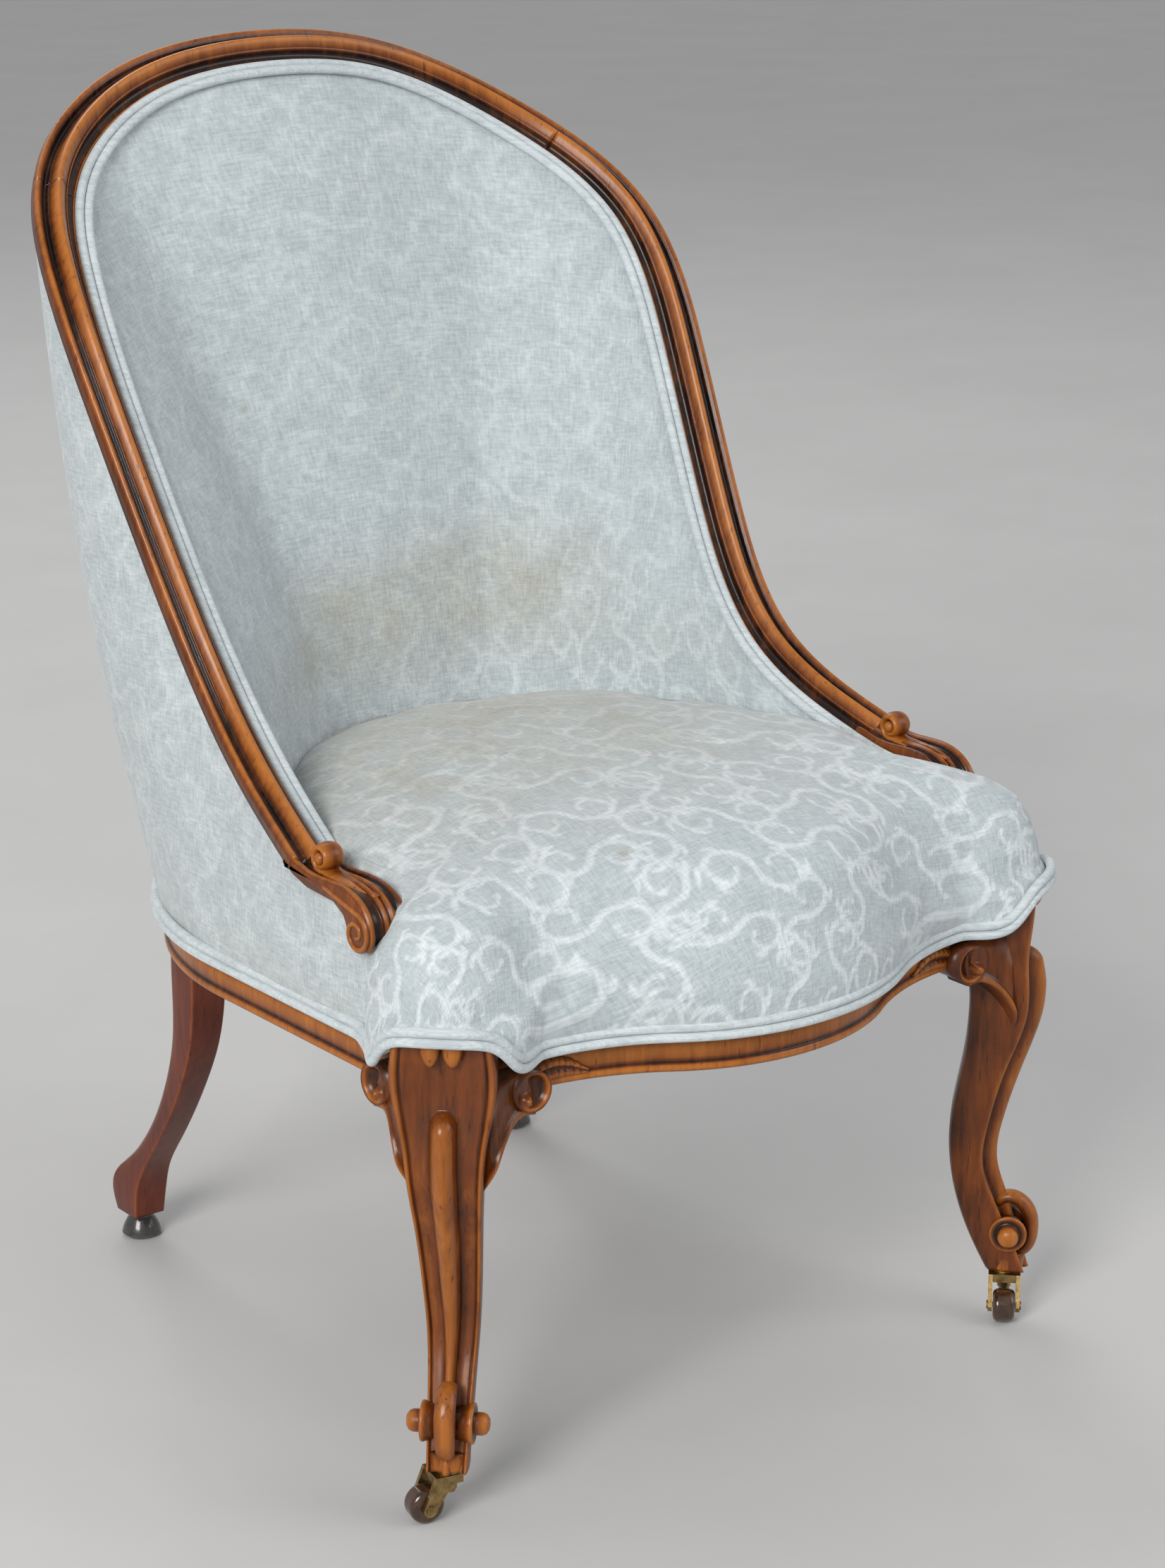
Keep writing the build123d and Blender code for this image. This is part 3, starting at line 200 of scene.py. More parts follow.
def waxed(name, dark, middle, light, worn_and_shaded):
    """Waxed wood. With a wear value, it is dark in the hollows and paler on the edges and ridges: partly wax
    in the hollows and edges rubbed by hands, and partly painted shade in the hollows and painted highlight on
    the edges.
    """
    made = Finish(name)
    figure = made.use(wood_figure, Scale=200.0, Stretch=0.1)
    if worn_and_shaded:
        # The wear value holds painted shade in the hollows and painted highlight on edges and ridges, as well
        # as real wear.
        level = made.math("MULTIPLY", made.field("wear"), 0.8)
    else:
        level = made.math("MULTIPLY", figure["Cloud"], 0.9)
    mottle = made.math("MULTIPLY", made.math("SUBTRACT", figure["Cloud"], 0.5), 0.5)
    streak = made.math("MULTIPLY", made.math("SUBTRACT", figure["Grain"], 0.5), 0.55)
    level = made.math("ADD", level, made.math("ADD", mottle, streak))
    colour = made.ramp(level, (0.03, dark), (0.4, middle), (0.86, light))
    pits = made.ramp(figure["Pores"], (0.0, (0.3, 0.2, 0.16)), (1.0, (1.0, 1.0, 1.0)))
    made.set(Base_Color=made.mix(0.7, colour, pits, "MULTIPLY"))
    made.set(Roughness=made.ramp(figure["Cloud"], (0.3, 0.24), (0.75, 0.42)))
    made.set(Coat_Weight=0.15, Coat_Roughness=0.2, Specular_IOR_Level=0.3)
    made.bump(figure["Height"], 0.2, 0.0005)
    return made.material


walnut = waxed("waxed_walnut", (0.012, 0.0035, 0.0013), (0.16, 0.038, 0.0045), (0.43, 0.14, 0.019), True)


def unit(vectors):
    """Vectors scaled to length one."""
    vectors = np.asarray(vectors, float)
    return vectors / np.linalg.norm(vectors, axis=-1, keepdims=True)


def run_of(line):
    """Distance along a line of places, from its start."""
    return np.concatenate(([0], np.cumsum(np.linalg.norm(np.diff(line, axis=0), axis=-1))))


def normals(line):
    """Normals of a flat line, to its left."""
    along = unit(np.gradient(line, axis=0))
    return np.stack((-along[:, 1], along[:, 0]), 1)


def full_turn(count):
    """Angles round a full turn."""
    return np.linspace(0, 2 * math.pi, count, endpoint=False)


def even(curve, count):
    """The same curve with places at equal distances."""
    curve = np.asarray(curve, float)
    run = run_of(curve)
    want = np.linspace(0, run[-1], count)
    return np.stack([np.interp(want, run, curve[:, i]) for i in range(curve.shape[1])], 1)


def spline(knots, points, want):
    """Smooth curve through the points at the knots, read at the wanted places."""
    knots = np.asarray(knots, float)
    points = np.asarray(points, float).reshape(len(knots), -1)
    steps = np.diff(knots)[:, None]
    slope = np.diff(points, axis=0) / steps
    system = np.eye(len(knots))
    right = np.zeros_like(points)
    for i in range(1, len(knots) - 1):
        system[i, i - 1:i + 2] = steps[i - 1, 0], 2 * (steps[i - 1, 0] + steps[i, 0]), steps[i, 0]
        right[i] = 6 * (slope[i] - slope[i - 1])
    bend = np.linalg.solve(system, right)
    piece = np.clip(np.searchsorted(knots, want, side="right") - 1, 0, len(knots) - 2)
    h = steps[piece]
    b = (np.asarray(want)[:, None] - knots[piece][:, None]) / h
    a = 1 - b
    curve = a * points[piece] + b * points[piece + 1]
    return curve + ((a ** 3 - a) * bend[piece] + (b ** 3 - b) * bend[piece + 1]) * h ** 2 / 6


def curve_through(points, count):
    """Evenly spaced places on a smooth curve through the points."""
    points = np.asarray(points, float)
    knots = run_of(points)
    return even(spline(knots, points, np.linspace(0, knots[-1], 30 * len(points))), count)


def ease(value, low, high):
    """0 below low, 1 above high, smooth between."""
    t = np.clip((np.asarray(value, float) - low) / (high - low), 0, 1)
    return t * t * (3 - 2 * t)


def build(name, verts, faces, material, fields):
    """Smooth mesh from millimetre points, facing outwards, with named values for each point."""
    mesh = bpy.data.meshes.new(name)
    mesh.from_pydata((np.asarray(verts) * MM).tolist(), [], faces)
    for key, values in fields.items():
        field = mesh.attributes.new(key, "FLOAT", "POINT")
        field.data.foreach_set("value", np.asarray(values, np.float32).ravel())
    work = bmesh.new()
    work.from_mesh(mesh)
    bmesh.ops.recalc_face_normals(work, faces=work.faces)
    work.to_mesh(mesh)
    work.free()
    mesh.polygons.foreach_set("use_smooth", np.ones(len(mesh.polygons), bool))
    mesh.materials.append(material)
    piece = bpy.data.objects.new(name, mesh)
    bpy.context.collection.objects.link(piece)
    return piece


def skin(name, rings, material, ring_closed=True, **fields):
    """Quads over rings of points, with a cap on the first and the last ring."""
    rings = np.asarray(rings, float)
    count, size = rings.shape[:2]
    index = np.arange(count * size).reshape(count, size)
    near = index if ring_closed else index[:, :-1]
    far = np.roll(index, -1, axis=1) if ring_closed else index[:, 1:]
    quads = np.stack((near[:-1], far[:-1], far[1:], near[1:]), -1).reshape(-1, 4).tolist()
    quads += [index[0][::-1].tolist(), index[-1].tolist()]
    return build(name, rings.reshape(-1, 3), quads, material, fields)


def settle(piece, slot, *nodes):
    """Put a piece on the chair and let it stand for its CAD nodes. The slot, the name of its finish, is not
    used.
    """
    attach(piece, "chair")
    if nodes:
        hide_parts(*nodes)


def on_side(rings, side):
    """Rings of a right-hand piece on the given side of the chair."""
    return np.asarray(rings) * np.array((side, 1.0, 1.0))


def carve(name, rings, side, wear, *nodes):
    """Walnut piece over right-hand rings, on the given side of the chair, with a wear value that holds
    painted shade and painted highlight as well as wear.
    """
    settle(skin(name, on_side(rings, side), walnut, wear=wear), "walnut", *nodes)


def lathe(name, profile, origin, axis):
    """Turned walnut piece about an axis, from rows of place along it, radius and wear, the wear also holding
    painted shade and painted highlight.
    """
    axis = unit(axis)
    one = unit(np.cross(axis, UP if abs(axis[2]) < 0.9 else ACROSS))
    two = np.cross(axis, one)
    angle = full_turn(40)[:, None]
    ring = np.cos(angle) * one + np.sin(angle) * two
    rings = [np.asarray(origin) + axis * along + ring * radius for along, radius, _ in profile]
    carve(name, rings, 1.0, np.repeat(np.array(profile, float)[:, 2:], len(ring), 1))


# Height, back, front face, ridge and width, out along the diagonal
LEG_STATIONS = np.array((
    (36, -14, 13, 17, 27), (52, -22, 7, 12, 28), (68, -29, 0, 7, 29), (92, -37, -10, 0, 31),
    (118, -42, -19, -8, 34), (150, -43, -17, -5, 38), (200, -35, -4, 10, 44), (238, -32, 8, 21, 50),
    (258, -33, 9, 22, 54), (284, -40, 8, 21, 64), (308, -42, 10, 23, 69), (336, -44, 12, 25, 62),
), float)
RIDGE_TOP = 284.0
RIDGE_END = 11.0
# Height and half width of the ridge, which tapers down to the toe
RIDGE_TAPER = np.array(((36, 3.0), (100, 3.6), (146, 6.2), (192, 7.8), (237, 8.7), (336, 8.7)), float)
# From the ridge to the back edge: share between the ridge's foot and the edge, then drop and wear, the wear
# holding painted shade in the grooves and painted highlight on the beads
PANEL_ROWS = (
    (0.0, 0.1, 0.24), (0.1, -0.9, 0.3), (0.24, -1.5, 0.44), (0.45, -1.6, 0.56), (0.62, -1.2, 0.52),
    (0.7, -1.2, 0.4), (0.74, -2.3, 0.14), (0.775, -1.0, 0.4), (0.83, 0.6, 0.75), (0.9, 1.0, 0.85),
    (0.97, -0.4, 0.6), (1.0, -3.0, 0.4),
)
PANEL_END = 0.72
KNEE_DISH = 4.5
KNEE_WEAR_AND_SHADE = 0.46
leg_heights = np.concatenate((np.linspace(36, 244, 86), np.linspace(245, 336, 92)))
stations = spline(LEG_STATIONS[:, 0], LEG_STATIONS[:, 1:], leg_heights)
leg_rings = []
leg_wear = []
for height, (back, front, ridge, width) in zip(leg_heights, stations):
    half = width / 2
    foot = np.interp(height, *RIDGE_TAPER.T)
    over = max(height - RIDGE_TOP + RIDGE_END, 0) / RIDGE_END
    above = ease(height, RIDGE_TOP - 30, RIDGE_TOP + 12)
    dish = above * KNEE_DISH
    angle = np.linspace(0, math.pi / 2, 13)[:-1]
    bulge = np.sqrt(np.clip(np.cos(angle) ** 2 - over ** 2, 0, 1))
    across = list(foot * np.sin(angle))
    out = list(front - dish + max(ridge - front, 0) * bulge)
    # Wear round the ring: pale on the ridge's crown and dark in the grooves, partly wear and partly painted
    # highlight and painted shade.
    worn_and_shaded = list(0.24 + 0.22 * above + (0.6 - 0.22 * above) * bulge)
    for share, drop, wear in PANEL_ROWS:
        on_panel = above * (share < PANEL_END)
        across.append(foot + (half - foot) * share)
        out.append(front + drop * (1 - 0.8 * on_panel) - dish * (1 - share) ** 1.5)
        worn_and_shaded.append(wear + on_panel * (KNEE_WEAR_AND_SHADE - wear))
    for t in (0.25, 0.5, 0.75, 1.0):
        across.append(half + (half * 0.76 - half) * t + 1.5 * math.sin(math.pi * t))
        out.append(front - 4 + (back + 2 - front + 4) * t)
        worn_and_shaded.append(0.45 - 0.2 * t)
    across.append(half * 0.45)
    out.append(back)
    worn_and_shaded.append(0.3)
    a = np.concatenate((across, -np.array(across[:0:-1])))
    d = np.concatenate((out, out[:0:-1]))
    leg_rings.append(LEG_AXIS + UP * height + a[:, None] * ACROSS + d[:, None] * OUTWARD)
    leg_wear.append(np.concatenate((worn_and_shaded, worn_and_shaded[:0:-1])))
leg_wear = np.clip(leg_wear, 0, 1.1)


def leg_place(across, out, height):
    """Place by the right front leg: across the diagonal, out along it, and its height."""
    return LEG_AXIS + ACROSS * across + OUTWARD * out + UP * height


def egg(name, centre, radii, side):
    """Carved lobe: an egg with its long axis up."""
    angle = np.linspace(0.02, math.pi - 0.02, 19)
    turn = full_turn(28)
    rings = []
    for t in angle:
        wide = math.sin(t) * (1 + 0.16 * math.cos(t))
        ring = centre + np.outer(np.cos(turn) * wide * radii[0], ACROSS)
        rings.append(ring + np.outer(np.sin(turn) * wide * radii[1], OUTWARD) + UP * math.cos(t) * radii[2])
    # The lobe is paler on its outer face and darker at its ends where it meets the leg: partly wear, partly
    # painted highlight and painted shade.
    carve(name, rings, side, (0.35 + 0.65 * np.clip(np.sin(turn), 0, 1)) * np.sin(angle)[:, None] ** 0.3)


# Scrolled toe: an upright tongue that curls over at both ends, by places out and up
tongue = curve_through((
    (-4, 85), (2, 90), (9, 89.5), (16, 84), (20, 76), (21, 66), (20, 57), (16, 50), (10, 47),
), 44)
turn = full_turn(24)
tongue_swell = 0.55 + 0.45 * np.sin(math.pi * np.linspace(0.06, 0.94, len(tongue))) ** 0.6
tongue_rings = []
for (out, height), (n_out, n_up), swell in zip(tongue, normals(tongue), tongue_swell):
    round_tongue = zip(np.cos(turn) * 7.2 * swell, np.sin(turn) * 5.5 * swell)
    tongue_rings.append([leg_place(a, out - 3 + n_out * d, height + n_up * d) for a, d in round_tongue])
# The tongue is paler on its outer side: partly wear, partly painted highlight.
tongue_wear = np.tile(0.45 + 0.4 * np.clip(np.sin(turn), -0.4, 1), (len(tongue), 1))
# Ears: a flared collar and a knob on each side of the toe, by place along, radius and wear, the wear holding
# painted shade in the hollow and painted highlight on the rounds
EAR = (
    (6, 11, 0.2), (11, 11.5, 0.3), (13.5, 12.6, 0.5), (15.6, 13.6, 0.9), (17.2, 13.4, 0.95),
    (17.6, 12.2, 0.6), (17, 9.6, 0.0), (17.4, 8, 0.05), (19, 7.6, 0.4), (23, 7.5, 0.8), (25.4, 6.4, 0.9),
    (27, 4, 0.85), (27.6, 0.5, 0.8),
)
# The ring round the foot, by the same columns: paler on its bulge and darker where it meets the leg, partly
# painted shade.
FOOT_RING = (
    (0, 12.5, 0.3), (0.6, 13.6, 0.7), (2.4, 14, 0.8), (8, 14.2, 0.6), (11, 14, 0.4), (12.5, 13, 0.2),
    (13, 10, 0.1),
)
for label, side in SIDES:
    carve(f"{label}_front_leg_carving", leg_rings, side, leg_wear, f"{label}_front_leg")
    carve(f"{label}_toe_tongue", tongue_rings, side, tongue_wear)
    for end, where in ((-1.0, "in"), (1.0, "out")):
        ear_place = on_side(leg_place(0, 1.5, 67), side)
        lathe(f"{label}_toe_ear_{where}", EAR, ear_place, on_side(ACROSS * end, side))
        egg(f"{label}_knee_lobe_{where}", leg_place(7.0 * end, 11.5, 327), (6.6, 6.0, 11.0), side)
    lathe(f"{label}_foot_ring", FOOT_RING, on_side(leg_place(0, 0, 36), side), UP)

# REAR LEGS
# Plain sabre legs of beech, stained a redder brown than the walnut, chamfered at the back edge.
# Each is dowelled into the underside of the rail and flares out into a heel at the floor.

beech = waxed("stained_beech", (0.032, 0.006, 0.003), (0.125, 0.024, 0.009), (0.24, 0.065, 0.024), True)
REAR_LEG_X = 178
# Height, place along Y, depth and width
REAR_STATIONS = np.array((
    (20, 254, 27, 26), (46, 253, 34, 28), (66, 240, 27, 25), (90, 220, 22, 24), (118, 200, 22, 24),
    (150, 182, 25, 25), (184, 168, 29, 27), (240, 161, 34, 30), (282, 160, 34, 30),
), float)
rear_heights = np.linspace(20, 282, 110)
stations = spline(REAR_STATIONS[:, 0], REAR_STATIONS[:, 1:], rear_heights)
rear_rings = []
rear_wear = []
for height, (middle, depth, width) in zip(rear_heights, stations):
    w = width / 2
    d = depth / 2
    chamfer = 6 * ease(height, 50, 80) + 1.5
    corners = ((-w, -d, 2.0), (w, -d, 2.0), (w, d, chamfer), (-w, d, chamfer * 0.4 + 1))
    ring = []
    worn_and_shaded = []
    for k, (x, y, cut) in enumerate(corners):
        here = np.array((x, y))
        before = np.array(corners[k - 1][:2])
        after = np.array(corners[(k + 1) % 4][:2])
        start = here + unit(before - here) * cut
        end = here + unit(after - here) * cut
        tip = 0.6 * here + 0.2 * (start + end) if cut > 3 else here
        # The rounded corners get a paler wear value than the flats: partly edge wear, partly painted
        # highlight.
        for t in (0.0, 0.25, 0.5, 0.75, 1.0):
            ring.append((1 - t) ** 2 * start + 2 * t * (1 - t) * tip + t * t * end)
            worn_and_shaded.append(0.5 + 0.45 * math.sin(math.pi * t))
        flat_end = after + unit(here - after) * corners[(k + 1) % 4][2]
        for t in (0.33, 0.67):
            ring.append(end + (flat_end - end) * t)
            worn_and_shaded.append(0.42)
    rear_rings.append([(REAR_LEG_X + x, middle + y, height) for x, y in ring])
    rear_wear.append(worn_and_shaded)
for label, side in SIDES:
    piece = skin(f"{label}_rear_leg_stained", on_side(rear_rings, side), beech, wear=rear_wear)
    settle(piece, "stained_beech", f"{label}_rear_leg")

# SEAT RAILS
# Four walnut rails, the front one bowed with hollows beside the legs. A moulded lip shows below the
# cover, with a bead along its low edge, and the webbing is tacked in a rebate underneath.

HALF_WIDTH = 250.0
FRONT_Y = -252.0
BOW = 59.0
BOW_RADIUS = 165.0
HOLLOW_RADIUS = 185.0
REAR_Y = 15.0
BOW_TURN = math.acos(1 - BOW / (BOW_RADIUS + HOLLOW_RADIUS))
HOLLOW_X = (BOW_RADIUS + HOLLOW_RADIUS) * math.sin(BOW_TURN)
PLAN_COUNT = 400
# Inset, height and wear round the section of a rail, from inside underneath; the wear holds painted shade in
# the groove and painted highlight on the beads
RAIL_ROWS = np.array((
    (36, 286, 0.2), (24, 286, 0.2), (24, 280, 0.2), (4, 280, 0.25), (1.8, 280.1, 0.5), (0.5, 281.1, 0.85),
    (0, 283, 1.0), (0.4, 284.9, 0.85), (1.4, 286, 0.3), (2.3, 286.5, 0.0), (2.1, 287.8, 0.3),
    (1.6, 290, 0.68), (1.4, 294, 0.85), (1.6, 297, 0.9), (2.6, 300.4, 0.8), (4.4, 302.8, 0.5), (7, 304, 0.3),
    (12, 304, 0.2), (12, 335, 0.3), (36, 335, 0.3),
), float)


def plan_half(inset, count):
    """Right half of the seat frame's plan, from the middle of the front to the middle of the back."""
    counts = [int(count * share) for share in (0.16, 0.17, 0.09, 0.28)]
    half = HALF_WIDTH - inset
    front = FRONT_Y + inset
    turn = np.linspace(0, BOW_TURN, counts[0], endpoint=False)
    middle = FRONT_Y - BOW + BOW_RADIUS
    bow = np.stack((np.sin(turn), -np.cos(turn)), 1) * (BOW_RADIUS - inset) + (0, middle)
    turn = np.linspace(BOW_TURN, 0, counts[1], endpoint=False)
    hollow = np.stack((-np.sin(turn), np.cos(turn)), 1) * (HOLLOW_RADIUS + inset)
    hollow = hollow + (HOLLOW_X, FRONT_Y - HOLLOW_RADIUS)
    straight = np.linspace((HOLLOW_X, front), (half, front), counts[2], endpoint=False)
    flank = np.linspace((half, front), (half, REAR_Y), counts[3], endpoint=False)
    turn = np.linspace(0, math.pi / 2, count - sum(counts))
    rear = np.stack((np.cos(turn), np.sin(turn)), 1) * half + (0, REAR_Y)
    return np.vstack((bow, hollow, straight, flank, rear))


def at_height(flat, height):
    """Places in plan, set at a height."""
    return np.column_stack((flat, np.full(len(flat), height)))


plan = plan_half(0, PLAN_COUNT)
plan_turn = np.degrees(np.arctan2(plan[:, 1] - REAR_Y, plan[:, 0]))
rail_grid = np.stack([at_height(plan_half(inset, PLAN_COUNT), height) for inset, height, _ in RAIL_ROWS], 1)


def rail(name, chosen, spread, node):
    """A rail over chosen places of the plan: the right or left half, or both over front or back."""
    rings = rail_grid[chosen]
    if spread == "front":
        rings = np.concatenate((on_side(rings[::-1], -1), rings[1:]))
    elif spread == "back":
        rings = np.concatenate((rings, on_side(rings[::-1], -1)[1:]))
    side = -1.0 if spread == "left" else 1.0
    carve(name, rings, side, np.tile(RAIL_ROWS[:, 2], (len(rings), 1)), node)


places = np.arange(PLAN_COUNT)
JOINT_TURN = 60
FRONT_COUNT = 168
FRONT_END_X = 212
SIDE_END_Y = -216
rail_joint = int(np.argmax((places > FRONT_COUNT) & (plan_turn >= JOINT_TURN)))
front_places = places < FRONT_COUNT
flank = (places >= FRONT_COUNT) & (plan[:, 1] > SIDE_END_Y) & (places <= rail_joint)
rail("front_rail_moulding", front_places & (plan[:, 0] <= FRONT_END_X), "front", "front_rail")
rail("right_rail_moulding", flank, "right", "right_side_rail")
rail("left_rail_moulding", flank, "left", "left_side_rail")
rail("back_rail_moulding", places >= rail_joint, "back", "back_rail")

# KNEE BRACKETS
# Scrolled walnut ears glued under the rails beside each front leg. The leg's edge bead sweeps up into
# a hollow volute with a curled end, and on the front rail a pointed leaf runs on from it.

VOLUTE_ALONG = -58.0
VOLUTE_Z = 286.0
VOLUTE_RADIUS = 13.8
VOLUTE_FRONT = 14.5
VOLUTE_BACK = -12.0
# Places along the rail from the leg, out and up: a raised rim round a bowl, its end curled up to the leg
turn = full_turn(64)
volute = []
volute_wear = []
for radius in (VOLUTE_RADIUS, *np.linspace(VOLUTE_RADIUS, 0.2, 44)):
    along = np.cos(turn) * radius
    up = np.sin(turn) * radius
    mouth = ease(np.cos(turn - 0.35), 0.1, 0.8)
    rim = math.exp(-((radius - VOLUTE_RADIUS + 2.0) / 1.6) ** 2) * (1 - mouth)
    bowl = 7.0 * (1 - (radius / VOLUTE_RADIUS) ** 2) * (1 - 0.6 * mouth)
    curl = np.exp(-(((along - 4.6) ** 2 + (up + 5.2) ** 2) / 15) ** 1.5)
    out = VOLUTE_FRONT + 1.6 * rim - bowl + 7.5 * curl
    volute.append(np.stack((along + VOLUTE_ALONG, out, up + VOLUTE_Z), 1))
    # The rim and the curl are paler and the bowl darker: partly wear, partly painted highlight and painted
    # shade.
    volute_wear.append(np.clip(0.2 + 0.65 * rim + 0.5 * curl + 0.15 * mouth, 0, 1))
volute[0][:, 1] = VOLUTE_BACK
volute_wear[0][:] = 0.3

# Web between volute and leg: along the rail from the leg, and the height of its low edge
web_line = curve_through(((-60, 269.5), (-48, 270), (-36, 263), (-26, 250), (-19, 234), (-15, 214)), 48)
# The bead along the web's low edge: out of its face, up from the edge
WEB_BEAD = (
    (-3, 16), (-2, 9), (-1, 6.4), (0.5, 5), (1.2, 3.4), (1.1, 1.6), (0.3, 0.4), (-3, 0),
)
web_rings = []
for along, low in web_line:
    face = 12.5 + 9.5 * ease(along, -52, -20) - 13 * ease(-low, -246, -214)
    behind = -11 + 16 * ease(along, -40, -18)
    ring = [(along, behind, low + 3), (along, behind, 300), (along, face - 4, 300)]
    ring += [(along, face + out, low + up) for out, up in WEB_BEAD]
    web_rings.append(ring + [(along, behind + 3, low)])
# Wear along the web's section, paler on the bead and darker beside it: partly wear, partly painted highlight
# and painted shade.
web_wear = np.tile((0.2, 0.2, 0.36, 0.42, 0.36, 0.26, 0.5, 0.75, 0.75, 0.55, 0.4, 0.25), (len(web_line), 1))


def bracket_place(points, front):
    """Turn (along the rail, out, height) at the right leg into places, on the front or the side rail."""
    along, out, height = np.moveaxis(np.asarray(points, float), -1, 0)
    if front:
        return np.stack((LEG_AXIS[0] + along, FRONT_Y - out, height), -1)
    return np.stack((HALF_WIDTH + out, LEG_AXIS[1] - along, height), -1)


# Leaf: share of its length from the stalk, half height, rise out of the rail
leaf_share = np.linspace(0, 1, 40)
leaf_half = 8.0 * np.sin(math.pi * np.clip(leaf_share * 0.84 + 0.14, 0, 1)) ** 0.7 + 0.5
leaf_middle = 287 + 5 * np.sin(leaf_share * math.pi * 1.1 - 0.2)
leaf_across = np.linspace(-1, 1, 15)
leaf_relief = (-0.6, 0.8, 1.7, 2.3, 2.6, 2.5, 1.5, 1.1, 1.5, 2.9, 3.3, 3.0, 2.2, 1.0, -0.6)
# The leaf's wear is paler on its raised lobes and darker in the vein: partly wear, partly painted highlight
# and painted shade.
leaf_wear = (0.4, 0.7, 0.8, 0.85, 0.85, 0.6, 0.3, 0.2, 0.3, 0.7, 0.95, 0.9, 0.8, 0.65, 0.4, 0.2, 0.2)
leaf_rings = []
for share, half, middle in zip(leaf_share, leaf_half, leaf_middle):
    k = int(np.argmin(np.abs(plan[front_places, 0] - (190 - 47 * share))))
    slope = unit(plan[k + 1] - plan[k - 1])
    out = np.array((slope[1], -slope[0]))
    lift = 0.3 + 0.7 * math.sin(math.pi * min(share * 0.9 + 0.08, 1))
    ring = []
    for across, relief in zip(leaf_across, leaf_relief):
        ring.append((*(plan[k] + out * (relief * lift - 0.8)), middle + across * half))
    behind = plan[k] - out * 6
    leaf_rings.append(ring + [(*behind, middle + half * 0.8), (*behind, middle - half * 0.8)])
leaf_values = np.tile(leaf_wear, (len(leaf_share), 1))

for label, side in SIDES:
    for where in ("front", "side"):
        placed = bracket_place(volute, where == "front")
        carve(f"{label}_{where}_volute", placed, side, volute_wear, f"{label}_{where}_bracket")
        carve(f"{label}_{where}_bracket_web", bracket_place(web_rings, where == "front"), side, web_wear)
    carve(f"{label}_rail_leaf", leaf_rings, side, leaf_values)

# INNER FRAME
# Beech posts under the arms, uprights in the back and glued corner blocks, left bare because the
# cover hides them, with steel screws through the blocks into the legs.

bare_beech = waxed("bare_beech", (0.22, 0.13, 0.065), (0.36, 0.23, 0.12), (0.48, 0.34, 0.19), False)
screw_steel = metal("screw_steel", (0.42, 0.4, 0.38), (0.24, 0.2, 0.17), 0.35, 0.55)
finish_nodes(bare_beech, "arm_post", "back_upright", "corner_block")
finish_nodes(screw_steel, "block_screw")

# SEAT SUPPORT
# Jute webbing stretched across the frame carries five hourglass coil springs under a hessian, and a
# black bottom cloth is tacked on below to keep the dust in.


def jute(name, base, scale):
    """Coarse plain weave of thick and thin yarns."""
    made = Finish(name)
    links = {"Vector": made.place(), "Scale": scale, "Distortion": 1.5, "Detail": 2.0}
    warp = made.node("ShaderNodeTexWave", links, bands_direction="X").outputs["Fac"]
    weft = made.node("ShaderNodeTexWave", links, bands_direction="Y").outputs["Fac"]
    weave = made.math("MULTIPLY", warp, weft)
    dark = tuple(0.45 * value for value in base)
    made.set(Base_Color=made.ramp(weave, (0.1, dark), (0.7, base)), Roughness=0.95)
    made.bump(weave, 0.6, 0.0008)
    return made.material


spring_steel = metal("spring_steel", (0.36, 0.33, 0.31), (0.17, 0.13, 0.11), 0.35, 0.6)
finish_nodes(jute("webbing_jute", (0.42, 0.31, 0.18), 110.0), "seat_webbing", "hessian")
finish_nodes(jute("bottom_cotton", (0.045, 0.042, 0.04), 190.0), "bottom_cloth")
finish_nodes(spring_steel, "seat_spring")

# BACK HOOP
# Crest rail and two stiles of walnut, steam-bent and run with one moulding: a main bead between two
# coves and an outer bead. Crest and stiles are dowelled together, and the joints have opened a hair.

HOOP_POINTS = np.array((
    (248, -106, 413), (232, -1, 466), (237, 66, 557), (247, 121, 661), (246, 184, 758),
    (200, 264, 824), (115, 305, 870), (0, 307, 887),
), float)
FACE = np.array((0.0, -math.cos(math.radians(64)), math.sin(math.radians(64))))
CREST_JOINT = 0.342
JOINT_CRACK = 0.0002


def stretch_of(start, end, bulge, count, ends, middle):
    """Curved stretch of a moulding, bulging out of the face: across, out and wear in each row, the wear also
    holding painted shade and painted highlight.
    """
    start = np.asarray(start, float)
    end = np.asarray(end, float)
    t = np.linspace(0, 1, count)[:, None]
    chord = end - start
    normal = np.array((-chord[1], chord[0])) / np.hypot(*chord)
    normal = normal if normal[1] > 0 else -normal
    hump = np.sin(math.pi * t)
    return np.hstack((start + t * chord + hump * normal * bulge, ends + (middle - ends) * hump))


# The moulding's section: its wear is lowest in the coves and highest on the beads, partly wear and partly
# painted shade and painted highlight.
hoop_rows = np.vstack((
    [(-13.5, -22.0, 0.1), (-13.5, -10.0, 0.3)],
    stretch_of((-13.5, -9.2), (-12.2, -8.7), 0.5, 4, 0.7, 0.9),
    stretch_of((-12.0, -9.2), (-7.4, -3.0), -2.3, 9, 0.2, 0.04),
    stretch_of((-7.2, -2.6), (-6.2, -2.2), 0.5, 4, 0.5, 0.75),
    [(-6.0, -3.2, 0.0)],
    stretch_of((-5.8, -1.6), (5.0, -1.2), 5.9, 17, 0.45, 1.05),
    [(5.3, -2.8, 0.0)],
    stretch_of((5.7, -1.6), (10.9, -1.0), -3.3, 9, 0.16, 0.03),
    [(11.2, -0.9, 0.3)],
    stretch_of((11.5, -0.4), (16.6, -1.6), 2.3, 9, 0.4, 0.9),
    [(17.0, -2.6, 0.4), (17.0, -8.8, 0.3), (10.5, -9.5, 0.1), (3.0, -24.0, 0.1)],
))
